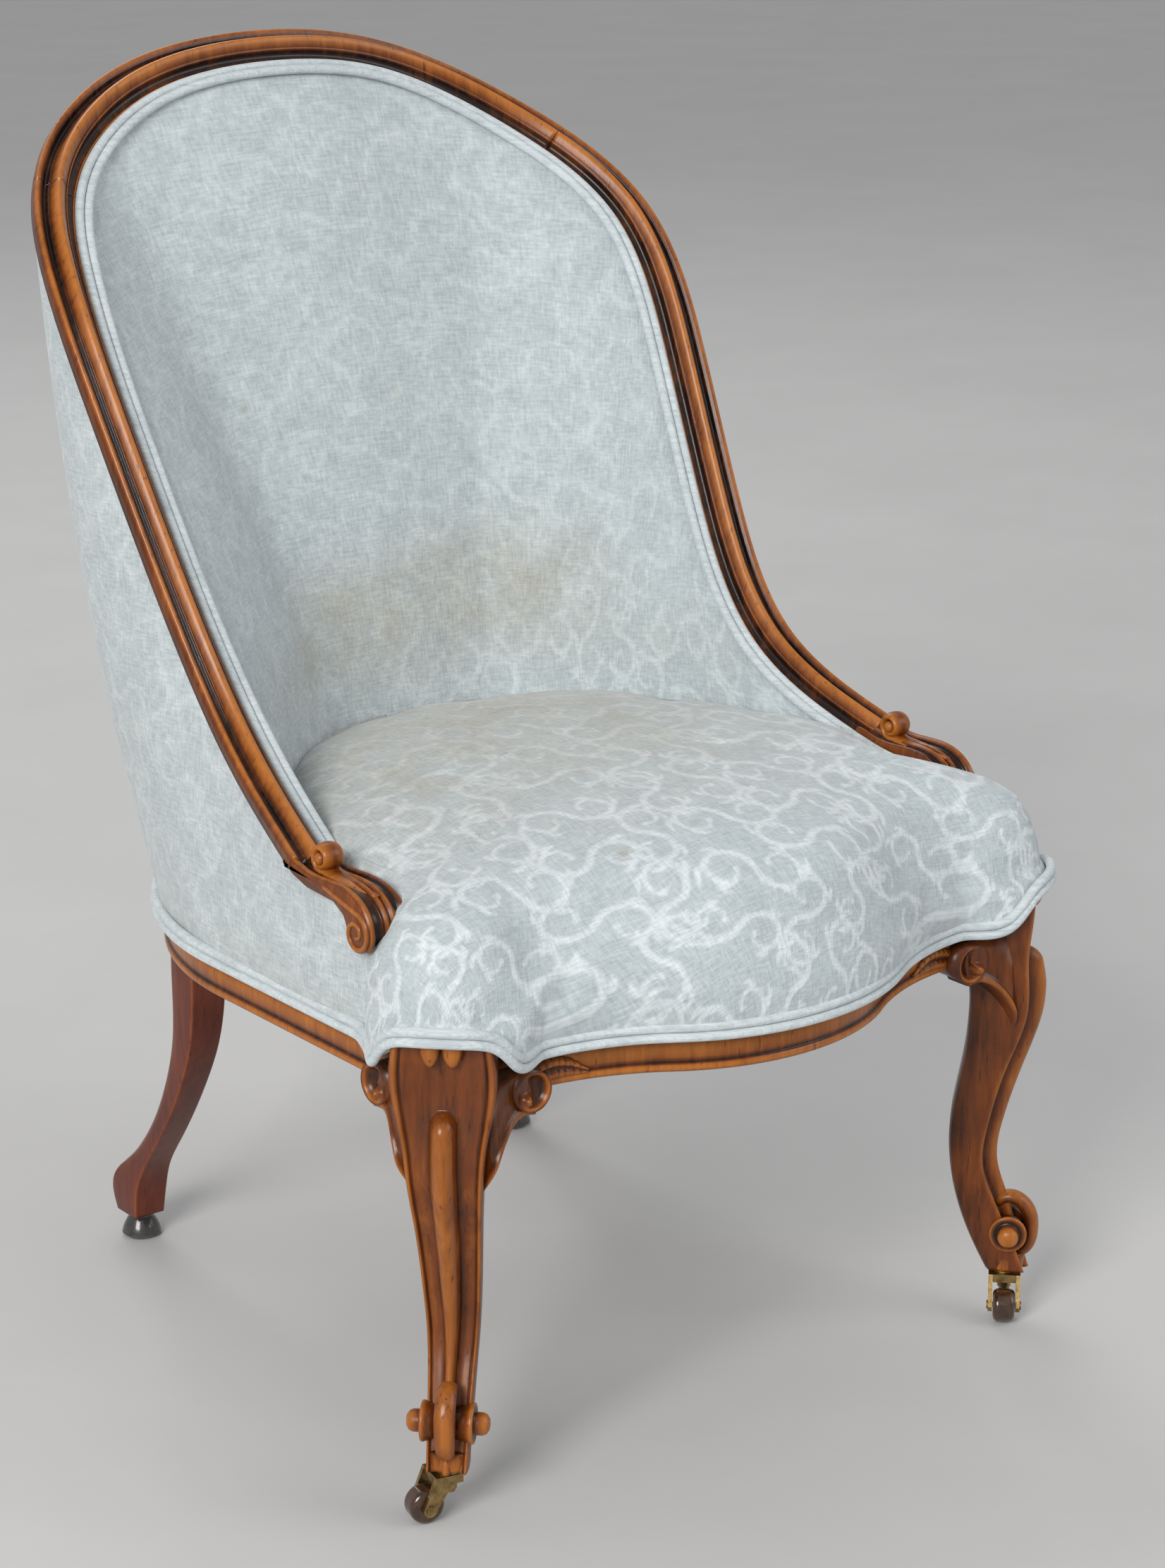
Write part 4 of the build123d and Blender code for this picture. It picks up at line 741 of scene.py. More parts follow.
hoop = curve_through(np.vstack((HOOP_POINTS, on_side(HOOP_POINTS[-2::-1], -1))), 601)
hoop_along = unit(np.gradient(hoop, axis=0))
hoop_face = unit(FACE - hoop_along * (hoop_along @ FACE)[:, None])
hoop_out = np.cross(hoop_along, hoop_face)
hoop_share = np.linspace(0, 1, len(hoop))


def by_hoop(share, across, out):
    """Places beside the hoop: its share from the right arm, out from it, and out of its face."""
    base = [np.stack([np.interp(share, hoop_share, line[:, i]) for i in range(3)], -1)
            for line in (hoop, hoop_out, hoop_face)]
    return base[0] + base[1] * across + base[2] * out


def hoop_piece(name, start, end, node):
    """Stretch of the moulding between two shares of the hoop."""
    shares = np.linspace(start, end, int(620 * (end - start)))
    rings = np.stack([by_hoop(shares, across, out) for across, out, _ in hoop_rows], 1)
    carve(name, rings, 1.0, np.tile(hoop_rows[:, 2], (len(rings), 1)), node)


hoop_piece("crest_moulding", CREST_JOINT + JOINT_CRACK, 1 - CREST_JOINT - JOINT_CRACK, "crest_rail")
hoop_piece("right_stile_moulding", 0, CREST_JOINT - JOINT_CRACK, "right_stile")
hoop_piece("left_stile_moulding", 1 - CREST_JOINT + JOINT_CRACK, 1, "left_stile")

# ARM SCROLLS
# Each stile ends in front in a reeded scroll that rolls over and down, carved from the same piece,
# with a small snail volute standing on top where the moulding of the hoop runs out.

ARM_X = 248.0
scroll_line = curve_through((
    (-92, 394), (-95, 413), (-112, 411), (-135, 409.5), (-156, 410), (-173, 406.5), (-186, 397),
    (-190.5, 384.5), (-187, 373), (-177, 367), (-166, 368.5), (-158, 375), (-150, 379), (-120, 386),
    (-97, 391.5),
), 170)
places = np.arange(len(scroll_line))
# On the outer side the wood is cut back below a thin rim, and the cover is tacked up against it
under = (places > 100) | (places < 9)
rim_floor = np.interp(-scroll_line[:, 0], (92, 104, 120, 150, 160, 168), (410, 403, 398.5, 397, 390, 372))
rim_line = scroll_line.copy()
rim_line[under, 1] = np.maximum(scroll_line[under, 1], rim_floor[under])
scroll_normal = normals(scroll_line)
if ((scroll_line - scroll_line.mean(0)) * scroll_normal).sum() < 0:
    scroll_normal = -scroll_normal
reeded = ease(places, 4, 12) * (1 - ease(places, 118, 132))
# Across the arm from its outer edge, and the depth of the reeds there
REEDS = np.array((
    (-16.5, 4), (-16, 1.6), (-14.4, 0), (-12, 0.4), (-10.2, 1.8), (-9.6, 3.6), (-8.6, 4.2), (-6, 4.2),
    (-3.4, 3.4), (-2.6, 1.4), (-1, 0.3), (0.8, 1.1), (1.8, 3.2), (2.4, 1.6), (4.6, 0), (7, 1.4), (7.8, 3.4),
    (8.6, 4), (11, 3.6), (13, 1.6), (14.6, 0.9), (16, 2), (16.5, 4),
))
arm_rings = []
arm_wear = []
for across in np.linspace(-16.5, 16.5, 96):
    drop = np.interp(across, *REEDS.T)
    inside = ease(across, -9.4, -8.2)
    line = rim_line * (1 - inside) + scroll_line * inside
    flat = line - scroll_normal * (drop * (0.2 + 0.8 * reeded))[:, None]
    arm_rings.append(np.column_stack((np.full(len(flat), ARM_X - across), flat)))
    # Paler on the reeds' crowns and darker in the grooves between them: partly wear, partly painted highlight
    # and painted shade.
    crest = 0.8 * np.clip(1 - drop / 2.6, 0, 1) * (0.35 + 0.65 * reeded)
    arm_wear.append(0.06 + crest + 0.4 * (abs(across) > 16))

strap_turn = full_turn(20)


def strap(line, thick, wide, x):
    """Rings of a rounded strap along a line in the upright plane at x."""
    rings = []
    for place, normal, half_thick, half_wide in zip(line, normals(line), thick, wide):
        flat = place + normal * (np.sin(strap_turn) * half_thick)[:, None]
        rings.append(np.column_stack((x + np.cos(strap_turn) * half_wide, flat)))
    return rings


# The outer rim rolls up at the front end into a small spiral on the outer side
turn = np.linspace(0, 2 * math.pi * 1.5, 90)
radius = np.linspace(14.0, 2.5, 90)[:, None]
roll_line = np.array((-175.5, 382.5)) + np.stack((-np.sin(turn), np.cos(turn)), 1) * radius
roll_line = even(np.vstack((np.linspace((-140, 404.5), roll_line[0], 20, endpoint=False), roll_line)), 130)
roll_thick = 1.7 + 0.6 * np.sin(np.linspace(0, math.pi, len(roll_line)))
roll_rings = strap(roll_line, roll_thick, np.full(len(roll_line), 2.0), ARM_X + 15.8)
# The roll is paler on its outer side: partly wear, partly painted highlight.
roll_wear = np.tile(0.3 + 0.6 * np.clip(np.cos(strap_turn), 0, 1), (len(roll_line), 1))
# The snail: a strap that runs up from the front and coils round an eye
SNAIL = np.array((-121.0, 416.5))
turn = np.linspace(0, 2 * math.pi * 1.3, 80) + 1.2
snail_line = SNAIL - np.stack((np.cos(turn), np.sin(turn)), 1) * np.linspace(9.2, 4.2, 80)[:, None]
run_in = np.linspace((-176, 404.5), snail_line[0] + (-3, -0.8), 24)
snail_line = even(np.vstack((run_in, snail_line)), 120)
snail_grow = ease(np.arange(len(snail_line)), 0, 34)
snail_rings = strap(snail_line, 1.2 + 1.9 * snail_grow, 2.4 + 5.4 * snail_grow, ARM_X)
# The snail is paler on its flanks: partly wear, partly painted highlight.
snail_wear = np.tile(0.45 + 0.5 * np.abs(np.cos(strap_turn)), (len(snail_line), 1))
# The snail's eye, by place along, radius and wear; the wear holds painted shade and painted highlight as well
# as wear.
SNAIL_EYE = (
    (-9.8, 0.4, 0.95), (-9.4, 2.4, 0.9), (-8, 4, 0.7), (-6, 4.8, 0.1),
    (6, 4.8, 0.1), (8, 4, 0.7), (9.4, 2.4, 0.9), (9.8, 0.4, 0.95),
)
for label, side in SIDES:
    carve(f"{label}_arm_scroll", arm_rings, side, arm_wear)
    carve(f"{label}_arm_roll", roll_rings, side, roll_wear)
    carve(f"{label}_arm_snail", snail_rings, side, snail_wear)
    lathe(f"{label}_snail_eye", SNAIL_EYE, (side * ARM_X, *SNAIL), (1, 0, 0))

# SEAT CUSHION
# Horsehair and wadding over the springs, covered in a pale blue damask with a scrolling vine woven in.
# The cover is pulled down over the rails and tacked, and blown out a little here by a cloth simulation.

woven_pile, made, given, put = open_group("woven_pile", {"Across": 0, "Along": 0}, ["Shade", "Height"])
slubs = []
for wide, high in ((90, 480), (480, 90)):
    links = {0: made.math("MULTIPLY", given["Across"], wide), 1: made.math("MULTIPLY", given["Along"], high)}
    slubs.append(made.noise(made.node("ShaderNodeCombineXYZ", links).outputs[0], 1.0, 3.0, 0.7))
weave = made.math("ADD", slubs[0], slubs[1])
rubbed = made.math("MULTIPLY", made.noise(made.place(), 40.0, 4.0, 0.6), 0.2)
made.feed(put["Shade"], made.math("ADD", made.math("MULTIPLY", weave, 0.4), rubbed))
made.feed(put["Height"], weave)

GROUND = (0.475, 0.53, 0.545)
RAISED = (0.64, 0.69, 0.705)
PLAIN = tuple(0.5 * (a + b) for a, b in zip(GROUND, RAISED))
SOIL_AND_SHADE = (0.4, 0.375, 0.305)


def damask(name, patterned):
    """Chenille damask: slubby ground, and where patterned a raised paler vine and a soil tint in the pile,
    which also carries painted shade.
    """
    made = Finish(name)
    if patterned:
        cloth = made.use(woven_pile, Across=made.field("across"), Along=made.field("along"))
    else:
        x, y, z = made.node("ShaderNodeSeparateXYZ", {0: made.place()}).outputs
        cloth = made.use(woven_pile, Across=made.math("ADD", x, y), Along=z)
    tone = made.ramp(cloth["Shade"], (0.4, (0.78, 0.79, 0.81)), (0.61, (1.12, 1.12, 1.12)))
    height = cloth["Height"]
    if patterned:
        colour = made.mix(made.field("motif"), GROUND, RAISED)
        cloud = made.use(patches, Scale=26.0, Low=0.3, High=0.68)["Mask"]
        # The soil value mixes real soil with painted shade, broken up in clouds.
        dirt_and_shade = made.math("MULTIPLY", made.field("soil"), made.ramp(cloud, (0.0, 0.25), (1.0, 1.0)))
        colour = made.mix(dirt_and_shade, colour, SOIL_AND_SHADE)
        height = made.math("ADD", height, made.math("MULTIPLY", made.field("motif"), 0.7))
        made.set(Base_Color=made.mix(1.0, colour, tone, "MULTIPLY"))
    else:
        made.set(Base_Color=made.mix(1.0, tone, PLAIN, "MULTIPLY"))
    made.set(Roughness=0.88, Sheen_Weight=0.25, Sheen_Roughness=0.5, Specular_IOR_Level=0.2)
    made.bump(height, 0.5, 0.0012)
    return made.material


damask_cloth = damask("damask_cloth", True)

# The woven vine on one repeat of the cloth, in millimetres
REPEAT = (174, 208)
repeat = np.zeros((REPEAT[1], REPEAT[0]))


def weave_stroke(path, widths):
    """Lay a stroke of varying width on the repeat, running on at its edges."""
    for (x, y), width in zip(path, widths):
        span = np.arange(-int(width / 2 + 3), int(width / 2 + 3) + 1)
        gx, gy = np.meshgrid(span, span)
        away = np.hypot(gx - (x - math.floor(x)), gy - (y - math.floor(y)))
        ink = 1 - ease(away, width / 2 - 0.9, width / 2 + 0.9)
        rows = (gy + math.floor(y)) % REPEAT[1]
        columns = (gx + math.floor(x)) % REPEAT[0]
        repeat[rows, columns] = np.maximum(repeat[rows, columns], ink)


def weave_scroll(x, y, heading, size, turn):
    """S-scroll through a place, curling up at both ends, with short leaves flicking off its outer side."""
    t = np.linspace(-1, 1, 220)
    middle = len(t) // 2
    angle = heading + turn * 6.0 * np.abs(t) ** 1.1
    step = size * (1.3 - 0.65 * np.abs(t)) / len(t)
    path = np.cumsum(np.stack((np.cos(angle) * step, np.sin(angle) * step), 1), 0)
    path = path - path[middle] + (x, y)
    weave_stroke(path, 2.4 + 3.2 * (1 - np.abs(t) ** 1.5))
    weave_stroke(path[[0, -1]], [5.0, 5.0])
    u = np.linspace(0, 1, 40)
    leaf_widths = 1.4 + 3.4 * np.sin(math.pi * np.clip(u * 0.8 + 0.16, 0, 1)) ** 1.2
    for k, length in ((136, 14.4), (160, 17.6), (184, 12.8), (84, 14.4), (60, 17.6), (36, 12.8)):
        bend = angle[k] + (0 if k > middle else math.pi) - turn * (1.0 - 1.6 * u)
        leaf = np.cumsum(np.stack((np.cos(bend), np.sin(bend)), 1), 0) * (length / len(u))
        weave_stroke(path[k] + leaf, leaf_widths)


for k in range(12):
    row, column = divmod(k, 3)
    weave_scroll(58 * column + 29 * (row % 2) + 6 * math.sin(5 * k), 52 * row + 6 * math.cos(3 * k),
                 2.4 * k + 0.6, 168 + 12 * math.sin(2 * k), 1 if k % 2 else -1)


def motif_at(u, v):
    """Strength of the woven vine at places on the cloth, in millimetres."""
    column = np.floor(u).astype(int)
    row = np.floor(v).astype(int)
    right = u - column
    up = v - row
    value = 0
    for i, beside in ((0, 1 - right), (1, right)):
        for j, above in ((0, 1 - up), (1, up)):
            value = value + repeat[(row + j) % REPEAT[1], (column + i) % REPEAT[0]] * beside * above
    return value


def soften(values, reach, loop=True):
    """Values along their first axis, averaged with their neighbours."""
    size = int(3 * reach) + 1
    kernel = np.exp(-0.5 * (np.arange(-size, size + 1) / reach) ** 2)
    kernel /= kernel.sum()
    if loop:
        before, after = values[-size:], values[:size]
    else:
        before, after = np.repeat(values[:1], size, 0), np.repeat(values[-1:], size, 0)
    padded = np.concatenate((before, values, after))
    return sum(weight * padded[k:k + len(values)] for k, weight in enumerate(kernel))


PRESSURE = 4
CLOTH_FRAMES = 20


def blown(rings, held, most, ring_step, point_step, loop):
    """How far cloth over these rings moves when it is blown out, by a cloth simulation on a coarse copy."""
    rows = np.unique(np.append(np.arange(0, len(rings), ring_step), len(rings) - 1))
    columns = np.arange(0, rings.shape[1], point_step)
    coarse = rings[rows][:, columns]
    mesh_piece = skin("cloth_under_way", coarse, damask_cloth, ring_closed=loop)
    group = mesh_piece.vertex_groups.new(name="held")
    for k, grip in enumerate(held[rows][:, columns].ravel()):
        if grip > 0:
            group.add([k], float(grip), "REPLACE")
    cloth = mesh_piece.modifiers.new("cloth", "CLOTH")
    cloth.settings.quality = 5
    cloth.settings.mass = 0.3
    cloth.settings.tension_stiffness = 25
    cloth.settings.compression_stiffness = 25
    cloth.settings.bending_stiffness = 3
    cloth.settings.use_pressure = True
    cloth.settings.uniform_pressure_force = PRESSURE
    cloth.settings.vertex_group_mass = "held"
    cloth.settings.effector_weights.gravity = 0
    cloth.collision_settings.use_collision = False
    scene = bpy.context.scene
    for step in range(1, CLOTH_FRAMES + 1):
        scene.frame_set(step)
    shaped = mesh_piece.evaluated_get(bpy.context.evaluated_depsgraph_get()).to_mesh()
    moved = np.empty(len(shaped.vertices) * 3)
    shaped.vertices.foreach_get("co", moved)
    scene.frame_set(1)
    shift = moved.reshape(coarse.shape) / MM - coarse
    bpy.data.objects.remove(mesh_piece)
    length = np.linalg.norm(shift, axis=-1, keepdims=True)
    shift *= np.minimum(1, most / np.maximum(length, 1e-6))
    # Back to every point: first along each coarse ring, then from ring to ring
    points = np.arange(rings.shape[1])
    period = len(points) if loop else None
    across = np.stack([
        [np.interp(points, columns, row[:, i], period=period) for i in range(3)] for row in shift])
    every = np.arange(len(rings))
    fine = np.stack([[np.interp(every, rows, across[:, i, c]) for i in range(3)] for c in points])
    fine = soften(fine.transpose(2, 0, 1), 0.6 * ring_step, False)
    return soften(fine.transpose(1, 0, 2), 0.6 * point_step, loop).transpose(1, 0, 2)


SEAT_MIDDLE = np.array((0.0, -60.0))
HEM = 305.0
# Line of the hem over a front leg: across it, out from it, and how far it rises
ARCH = np.array(((-54, -36, 0), (-46.5, -9, 3), (-34.5, 7, 22), (-18, 16, 27), (0, 19, 28)), float)
ARCH = np.vstack((ARCH, (ARCH * (-1, 1, 1))[-2::-1]))
# Line of the cushion's wall there
CORNER = np.array(((-54, -34), (-46, -15), (-34, -0.5), (-18, 11), (0, 15.5)), float)
CORNER = np.vstack((CORNER, (CORNER * (-1, 1))[-2::-1]))
FINE_COUNT = 1600
FINE_FRONT = 640
FRONT_POINTS = 140
CORNER_POINTS = 101
FLANK_POINTS = 8
REAR_POINTS = 210


def corner_places(line, count):
    """Places in plan by the right front leg, with a third value for the rise where the line has one."""
    shape = curve_through(line, count)
    flat = LEG_AXIS[:2] + shape[:, :1] * ACROSS[:2] + shape[:, 1:2] * OUTWARD[:2]
    return np.hstack((flat, shape[:, 2:]))


def seat_half(outset, corner):
    """Right half of the cushion's outline: bow and hollow, corner, flank, and the crease by the back."""
    front = plan_half(-outset, FINE_COUNT)[:FINE_FRONT]
    bend = corner_places(corner, CORNER_POINTS)[:, :2]
    front = front[front[:, 0] < bend[0, 0]]
    front = even(np.vstack((front, bend[:1])), FRONT_POINTS)
    flank = np.linspace(bend[-1], (HALF_WIDTH + outset, -184), FLANK_POINTS)
    rear = curve_through((
        flank[-1], (252, -171), (247, -150), (241, -120), (227, -78), (212, -42), (198, -6), (177, 36),
        (147, 84), (79, 128), (0, 148),
    ), REAR_POINTS)
    return np.vstack((front, bend[1:], flank[1:], rear[1:]))


def full_loop(half, mirror):
    """Values on the right half with their mirror image, as one loop."""
    return np.concatenate((half, half[-2:0:-1] * mirror))


hem_half = seat_half(7.5, ARCH)
hem_loop = full_loop(hem_half, (-1, 1))
wall_loop = soften(full_loop(seat_half(11.5, CORNER), (-1, 1)), 6)
size = len(hem_loop)
hem_rise = np.zeros(len(hem_half))
hem_rise[FRONT_POINTS:FRONT_POINTS + CORNER_POINTS - 1] = corner_places(ARCH, CORNER_POINTS)[1:, 2]
hem_rise = soften(full_loop(hem_rise, 1), 2)
rear_start = FRONT_POINTS + CORNER_POINTS + FLANK_POINTS - 2
in_rear = full_loop(ease(np.arange(len(hem_half)), rear_start + 5, rear_start + 53), 1)
tangent = soften(np.roll(wall_loop, -1, 0) - np.roll(wall_loop, 1, 0), 10)
inward = unit(np.stack((-tangent[:, 1], tangent[:, 0]), 1))


SEAT_TOP = 435
CROWN_Y = -40
CROWN_SPREAD = 2900


def crown(flat):
    """Height of the seat's crowned top."""
    return SEAT_TOP - (flat[..., 0] ** 2 + (flat[..., 1] - CROWN_Y) ** 2) / CROWN_SPREAD


def lower_of(first, second, blend=4.5):
    """The lower of two heights, rounded where they cross."""
    return -blend * np.logaddexp(-first / blend, -second / blend)


WALL_RINGS = 32
SHOULDER_RINGS = 41
TOP_RINGS = 110
WALL_TOP = 346
SHOULDER_TOP = 414.5
# Inset from the wall, and height
SHOULDER = ((0, WALL_TOP), (1.5, 363), (6.5, 380), (15, 396), (26, 409), (33, SHOULDER_TOP))
seat_rings = []
low = HEM + hem_rise + in_rear * 45
for t in np.linspace(0, 1, WALL_RINGS):
    share = t ** 0.75
    belly = 2.5 * math.sin(math.pi * t) * (1 - in_rear[:, None])
    flat = hem_loop * (1 - share) + wall_loop * share - inward * belly
    seat_rings.append(np.column_stack((flat, low + (WALL_TOP - low) * t)))
for inset, height in even(SHOULDER, SHOULDER_RINGS + 1)[1:]:
    flat = wall_loop + inward * (inset * (1 - 0.85 * in_rear))[:, None]
    seat_rings.append(np.column_stack((flat, lower_of(np.full(size, height), crown(flat)))))
edge = seat_rings[-1][:, :2]
for t in np.linspace(0, 1, TOP_RINGS + 2)[1:-1]:
    flat = edge + (SEAT_MIDDLE - edge) * t
    away = np.linalg.norm(flat - edge, axis=1)
    height = lower_of(SHOULDER_TOP + 26 * (1 - np.exp(-away / 24)), crown(flat))
    seat_rings.append(np.column_stack((flat, height - 9 * in_rear * np.exp(-away / 13))))
seat_rings = np.array(seat_rings)
held = np.zeros(seat_rings.shape[:2])
held[:5] = 1
held[5:14] = np.linspace(0.8, 0.1, 9)[:, None]
held = np.maximum(held, in_rear * (1 - ease(np.arange(len(seat_rings)), 60, 80))[:, None])
SEAT_GIVE = 4.0
seat_rings = seat_rings + blown(seat_rings, held, SEAT_GIVE, 5, 6, True)
# Cloth coordinates: flat over the top, running on down the sides
steps = np.linalg.norm(np.diff(seat_rings, axis=0), axis=-1)
down = np.zeros(seat_rings.shape[:2])
down[:WALL_RINGS + SHOULDER_RINGS] = np.cumsum(steps[:WALL_RINGS + SHOULDER_RINGS][::-1], 0)[::-1]
down = np.clip(down - 20, 0, None) * 0.9
x, y, z = np.moveaxis(seat_rings, -1, 0)
cloth_u = x - inward[:, 0] * down
cloth_v = y - inward[:, 1] * down
# The seat's top darkens towards the back and the middle: partly soil, partly painted shade. A small stain
# sits by the front.
seat_soil = 0.85 * ease(y, -290, 40) * (1 - 0.5 * ease(np.abs(x + 40), 90, 230)) * (z > 390)
stain = np.exp(-((x + 92) ** 2 + (y + 232) ** 2) / 18)
seat_motif = motif_at(cloth_u + 60, cloth_v + 330) * (1 - 0.25 * seat_soil)
seat_piece = skin(
    "seat_cover", seat_rings, damask_cloth, motif=seat_motif, soil=np.clip(seat_soil + stain, 0, 1),
    across=cloth_u * MM, along=cloth_v * MM)
settle(seat_piece, "damask", "seat_cushion")

# INSIDE BACK
# Stuffed and lined with the same damask, drawn smooth from the seat up to the hoop. The cloth is
# tacked in the hoop's rebate, and the tacks are hidden by the piping.


def rib_of(place):
    """Upright plane through a place on the hoop: its foot, its direction, the reach and the turn."""
    side = np.where(place[..., 0] >= 0, 1.0, -1.0)
    level = place[..., 1] < REAR_Y
    out = np.stack((np.where(level, side, place[..., 0]), np.where(level, 0.0, place[..., 1] - REAR_Y)), -1)
    reach = np.where(level, np.abs(place[..., 0]), np.linalg.norm(out, axis=-1))
    turn = np.where(level, 0.0, np.arctan2(out[..., 1], np.abs(out[..., 0])))
    foot = np.stack((np.zeros_like(reach), np.where(level, place[..., 1], REAR_Y)), -1)
    return foot, unit(out), reach, turn


def rib_points(foot, out, reach, height):
    """Places on a rib by reach and height."""
    flat = foot[..., None, :] + out[..., None, :] * reach[..., None]
    return np.concatenate((flat, height[..., None]), -1)


def bowed(start, low, reach, top, swell, full_at, t):
    """Reach, height and length of lines up the ribs, bowed in, or out where the swell is below 0."""
    chord = np.stack((reach - start, top - low), -1)
    length = np.linalg.norm(chord, axis=-1)
    bow = np.stack((-chord[:, 1], chord[:, 0]), -1) / length[:, None]
    rise = (swell * np.minimum(length / full_at, 1))[:, None] * 4 * t * (1 - t)
    arc_reach = np.reshape(start, (-1, 1)) + chord[:, :1] * t + bow[:, :1] * rise
    return arc_reach, low + chord[:, 1:] * t + bow[:, 1:] * rise, length


def edges_held(front, foot, top, ends):
    """Grip on the rows of points along the edges of a panel."""
    held = np.zeros(front.shape[:2])
    held[:, :foot] = 1
    held[:, -top:] = 1
    held[:ends] = 1
    held[-ends:] = 1
    return held


def cloth_across(line, count):
    """Distance along a line on the cloth from its middle, the same for a number of points up each rib."""
    run = run_of(line)
    return np.repeat((run - run[-1] / 2)[:, None], count, 1)


PAD_FOOT = 345.0
PAD_SWELL = 14
PAD_GIVE = 5.0
pad_places = by_hoop(np.linspace(0.003, 0.997, 400), -19.5, -11.5)
front_tips = curve_through(((226, -152, 386), (229, -128, 398), tuple(pad_places[0])), 14)[:-1]
pad_places = np.vstack((front_tips, pad_places, on_side(front_tips[::-1], -1)))
foot, out, reach, turn = rib_of(pad_places)
top = pad_places[:, 2]
crease = 1 / np.hypot(np.cos(turn) / 186, np.sin(turn) / 121)
crease = crease * (1 - 0.17 * np.clip(np.sin(3 * turn), 0, None)) - 14 * np.sin(turn)
crease = np.minimum(crease, reach - 8)
t = np.linspace(0, 1, 200)
arc_reach, arc_height, length = bowed(crease, PAD_FOOT, reach, top, PAD_SWELL, 300, t)
pad_front = rib_points(foot, out, arc_reach, arc_height)
pad_front = pad_front + blown(pad_front, edges_held(pad_front, 40, 4, 6), PAD_GIVE, 7, 7, False)
# Behind the cloth the stuffing goes down inside the hoop and back to the crease
deep = np.minimum(46, 0.7 * (top - PAD_FOOT))
behind_reach = np.stack((reach + 6, reach + 6, np.minimum(crease + 40, reach + 4)), -1)
behind_height = np.stack((top - 6, top - 6 - deep, np.full(len(reach), PAD_FOOT)), -1)
pad_rings = np.concatenate((pad_front, rib_points(foot, out, behind_reach, behind_height)), 1)
cloth_u = cloth_across(pad_front[:, 100], len(t) + 3) * (0.75 + 0.25 * np.append(t, (1, 1, 0)))
cloth_v = np.hstack((length[:, None] * t, np.zeros((len(reach), 3))))
x, y, z = np.moveaxis(pad_rings, -1, 0)
pad_motif = motif_at(cloth_u + 95, cloth_v + 40) * (0.3 + 0.3 * (1 - ease(z, 420, 600)) * ease(x, -60, 120))
pad_soil = 0.75 * np.exp(-((z - 490 - 0.1 * x) / 38) ** 2) * np.exp(-((x - 30) / 130) ** 4) * ease(y, 60, 120)
# A fainter band darkens the cloth along the crease just above the seat.
pad_soil += 0.2 * np.exp(-((z - 455) / 30) ** 2)
for spot_x, spot_z in ((33, 640), (-97, 640)):
    pad_soil += 0.6 * np.exp(-((x - spot_x) ** 2 + (z - spot_z) ** 2) / 16) * ease(y, 100, 140)
pad_piece = skin(
    "inside_back_cover", pad_rings, damask_cloth, motif=pad_motif, across=cloth_u * MM, along=cloth_v * MM,
    soil=np.clip(pad_soil, 0, 1))
settle(pad_piece, "damask", "inside_back")

# OUTSIDE BACK
# One panel of damask over a thin layer of wadding, blind-stitched under the hoop's outer edge and
# tacked under the rails, with a seam below each arm scroll where it meets the seat cover.

HEM_OUT = HALF_WIDTH + 2.5
COVER_THICKNESS = 3
COVER_SWELL = -12
COVER_GIVE = 3.0
cover_places = by_hoop(np.linspace(0.02, 0.98, 420), 15.2, -9.8)
front_tips = curve_through((
    (257, -174, 364), (258, -164, 380), (259, -150, 393), (259.5, -125, 397), tuple(cover_places[0]),
), 30)[:-1]
cover_places = np.vstack((front_tips, cover_places, on_side(front_tips[::-1], -1)))
foot, out, reach, turn = rib_of(cover_places)
t = np.linspace(0, 1, 230)
arc_reach, arc_height, length = bowed(HEM_OUT, HEM, reach, cover_places[:, 2], COVER_SWELL, 400, t)
# The front edges are turned in at the seams with the seat cover
from_seam = np.minimum(np.arange(len(reach)), np.arange(len(reach))[::-1])
arc_reach = arc_reach - 5 * np.exp(-(from_seam / 2) ** 2)[:, None]
cover_front = rib_points(foot, out, arc_reach, arc_height)
cover_front = cover_front + blown(cover_front, edges_held(cover_front, 4, 3, 3), COVER_GIVE, 8, 8, False)
inner = rib_points(foot, out, arc_reach[:, ::-8] - COVER_THICKNESS, arc_height[:, ::-8])
cover_rings = np.concatenate((cover_front, inner), 1)
rows = np.concatenate((t, t[::-8]))
cloth_u = cloth_across(cover_front[:, 115], len(rows))
cloth_v = length[:, None] * rows
# The cover has a faint tint all over and is darker towards the bottom.
cover_piece = skin(
    "outside_back_cover", cover_rings, damask_cloth, motif=motif_at(cloth_u + 40, cloth_v + 90) * 0.36,
    across=cloth_u * MM, along=cloth_v * MM, soil=0.1 + 0.25 * (1 - ease(cover_rings[:, :, 2], 305, 350)))
settle(cover_piece, "damask", "outside_back")

# PIPING
# Double cords covered in the same cloth. One pair runs round inside the hoop, another along the hem,
# where it arches over the tops of the front legs. They are glued and tacked over the cut edges.

CORD_RADIUS = 3.3
cord_tree = bpy.data.node_groups.new("covered_cord", "GeometryNodeTree")
cord_tree.interface.new_socket("Geometry", in_out="INPUT", socket_type="NodeSocketGeometry")
radius_socket = cord_tree.interface.new_socket("Cord radius", in_out="INPUT", socket_type="NodeSocketFloat")
cord_tree.interface.new_socket("Geometry", in_out="OUTPUT", socket_type="NodeSocketGeometry")
chain = [cord_tree.nodes.new(kind) for kind in (
    "NodeGroupInput", "GeometryNodeMeshToCurve", "GeometryNodeCurveToMesh", "GeometryNodeSetShadeSmooth",
    "GeometryNodeRealizeInstances", "GeometryNodeSetMaterial", "NodeGroupOutput")]
for source, target in zip(chain, chain[1:]):
    cord_tree.links.new(source.outputs[0], target.inputs[0])
cord_in, _, sweep, _, _, covering, _ = chain
ring = cord_tree.nodes.new("GeometryNodeCurvePrimitiveCircle")
ring.inputs["Resolution"].default_value = 16
sweep.inputs["Fill Caps"].default_value = True
covering.inputs["Material"].default_value = damask("cord_cloth", False)
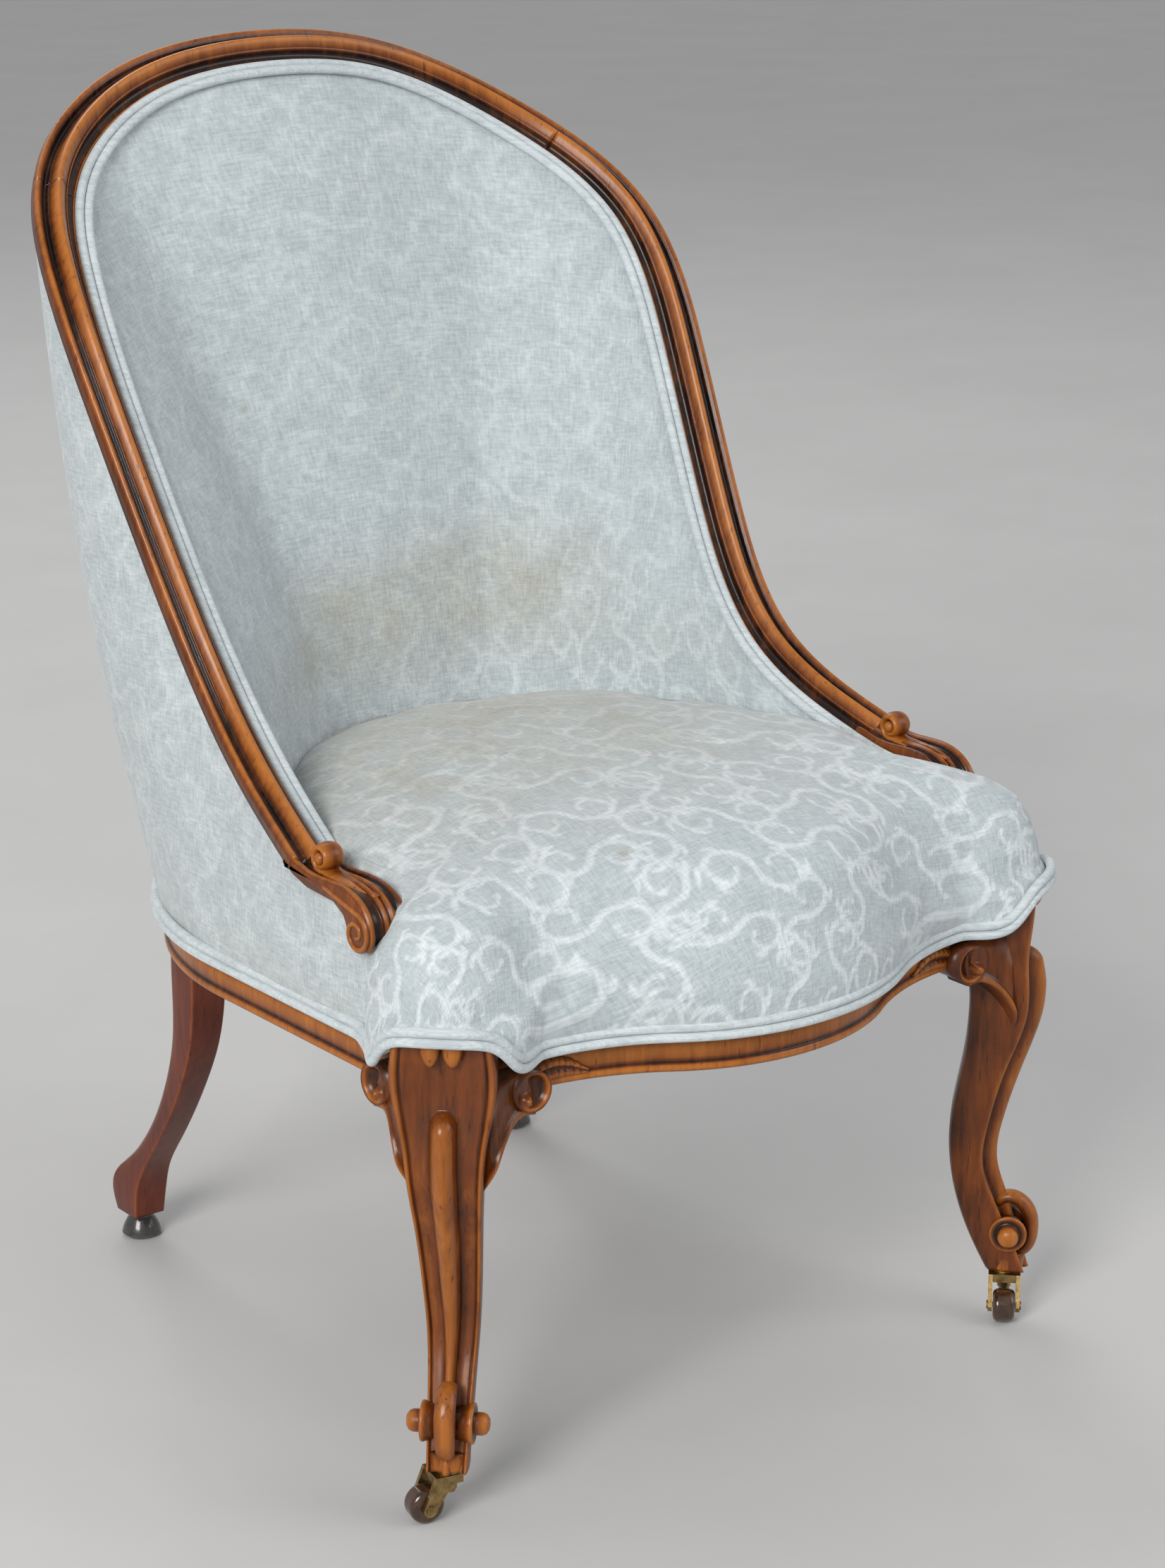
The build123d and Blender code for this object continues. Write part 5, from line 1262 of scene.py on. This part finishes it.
cord_tree.links.new(cord_in.outputs["Cord radius"], ring.inputs["Radius"])
cord_tree.links.new(ring.outputs["Curve"], sweep.inputs["Profile Curve"])


def cord(name, paths, *nodes):
    """Covered cords along lines of places, as one piece."""
    edges = []
    start = 0
    for path in paths:
        edges += [(start + k, start + k + 1) for k in range(len(path) - 1)]
        start += len(path)
    mesh = bpy.data.meshes.new(name)
    mesh.from_pydata((np.vstack(paths) * MM).tolist(), edges, [])
    piece = bpy.data.objects.new(name, mesh)
    bpy.context.collection.objects.link(piece)
    modifier = piece.modifiers.new("cord", "NODES")
    modifier.node_group = cord_tree
    modifier[radius_socket.identifier] = CORD_RADIUS * MM
    ready = piece.evaluated_get(bpy.context.evaluated_depsgraph_get())
    plain = bpy.data.meshes.new_from_object(ready)
    piece.modifiers.clear()
    piece.data = plain
    settle(piece, "damask", *nodes)


shares = np.linspace(0.002, 0.998, 420)
cord("back_cords", [by_hoop(shares, -17.0, -9.2), by_hoop(shares, -23.6, -10.0)], "back_piping")

# The hem's line in plan and height: bow, arch over the leg, flank and round the back
front_line = plan_half(-10.5, FINE_COUNT)[:FINE_FRONT]
bend = corner_places(ARCH + (0, 4, 0), 90)
front_line = front_line[front_line[:, 0] < bend[0, 0] - 4]
flank_line = plan_half(-5.5, FINE_COUNT)
flank_line = flank_line[(flank_line[:, 1] > -165) & (np.arange(FINE_COUNT) > 700)]
hem_line = np.vstack((at_height(front_line, 0), bend, at_height(flank_line, 0)))
hem_line = even(np.vstack((hem_line, on_side(hem_line[::-1], -1)[1:])), 900)
hem_line = soften(hem_line, 2.2)
hem_line = np.vstack((hem_line, hem_line[:1]))
lower_cord = hem_line + (0, 0, HEM + 3.4)
upper_cord = hem_line * (0.9975, 0.9975, 1) + (0, 0, HEM + 9.9)
cord("hem_cords", [lower_cord, upper_cord], "front_hem_piping", "rear_hem_piping", "right_leg_piping",
     "left_leg_piping")

# FLOOR, LIGHT AND CAMERA
# A plain pale floor, a large soft lamp in front on the left, weaker ones on the right and behind, and an
# even sky. The camera stands where the photographer stood.

FLOOR_HALF = 30000.0
finish = Finish("pale_floor")
mottle = finish.use(patches, Scale=3.0)["Mask"]
finish.set(Base_Color=finish.mix(mottle, (0.545, 0.54, 0.535), (0.57, 0.565, 0.56)), Roughness=0.75)
corners = [(x * FLOOR_HALF, y * FLOOR_HALF, -0.2) for x, y in ((-1, -1), (1, -1), (1, 1), (-1, 1))]
floor = build("floor", corners, [[0, 1, 2, 3]], finish.material, {})


def lamp(name, place, size, watts, colour):
    """Soft square lamp aimed at the middle of the chair."""
    light = bpy.data.lights.new(name, "AREA")
    light.size = size
    light.energy = watts
    light.color = colour
    piece = bpy.data.objects.new(name, light)
    piece.location = place
    aim = np.array((0.0, 0.0, 0.45)) - np.array(place)
    piece.rotation_euler = (math.acos(-unit(aim)[2]), 0, math.atan2(aim[1], aim[0]) - math.pi / 2)
    bpy.context.collection.objects.link(piece)


lamp("key_lamp", (-4.1, -2.2, 2.8), 2.2, 205, (1.0, 0.985, 0.96))
lamp("fill_lamp", (2.6, -3.2, 2.8), 2.6, 48, (0.99, 0.99, 1.0))
lamp("rim_lamp", (1.0, 3.4, 3.6), 2.2, 45, (1.0, 1.0, 1.0))
world = bpy.data.worlds.new("studio")
world.use_nodes = True
world.node_tree.nodes["Background"].inputs["Color"].default_value = (0.94, 0.95, 0.96, 1)
world.node_tree.nodes["Background"].inputs["Strength"].default_value = 0.52
bpy.context.scene.world = world
bpy.context.scene.view_settings.view_transform = "Standard"

camera_data = bpy.data.cameras.new("camera")
camera_data.sensor_fit = "VERTICAL"
camera_data.sensor_height = 36.0
camera_data.lens = 82.5
camera = bpy.data.objects.new("camera", camera_data)
camera.location = (-1.469, -1.959, 1.144)
camera.rotation_euler = (math.radians(90 - 17.13), 0, math.radians(-37.86))
bpy.context.collection.objects.link(camera)
bpy.context.scene.camera = camera
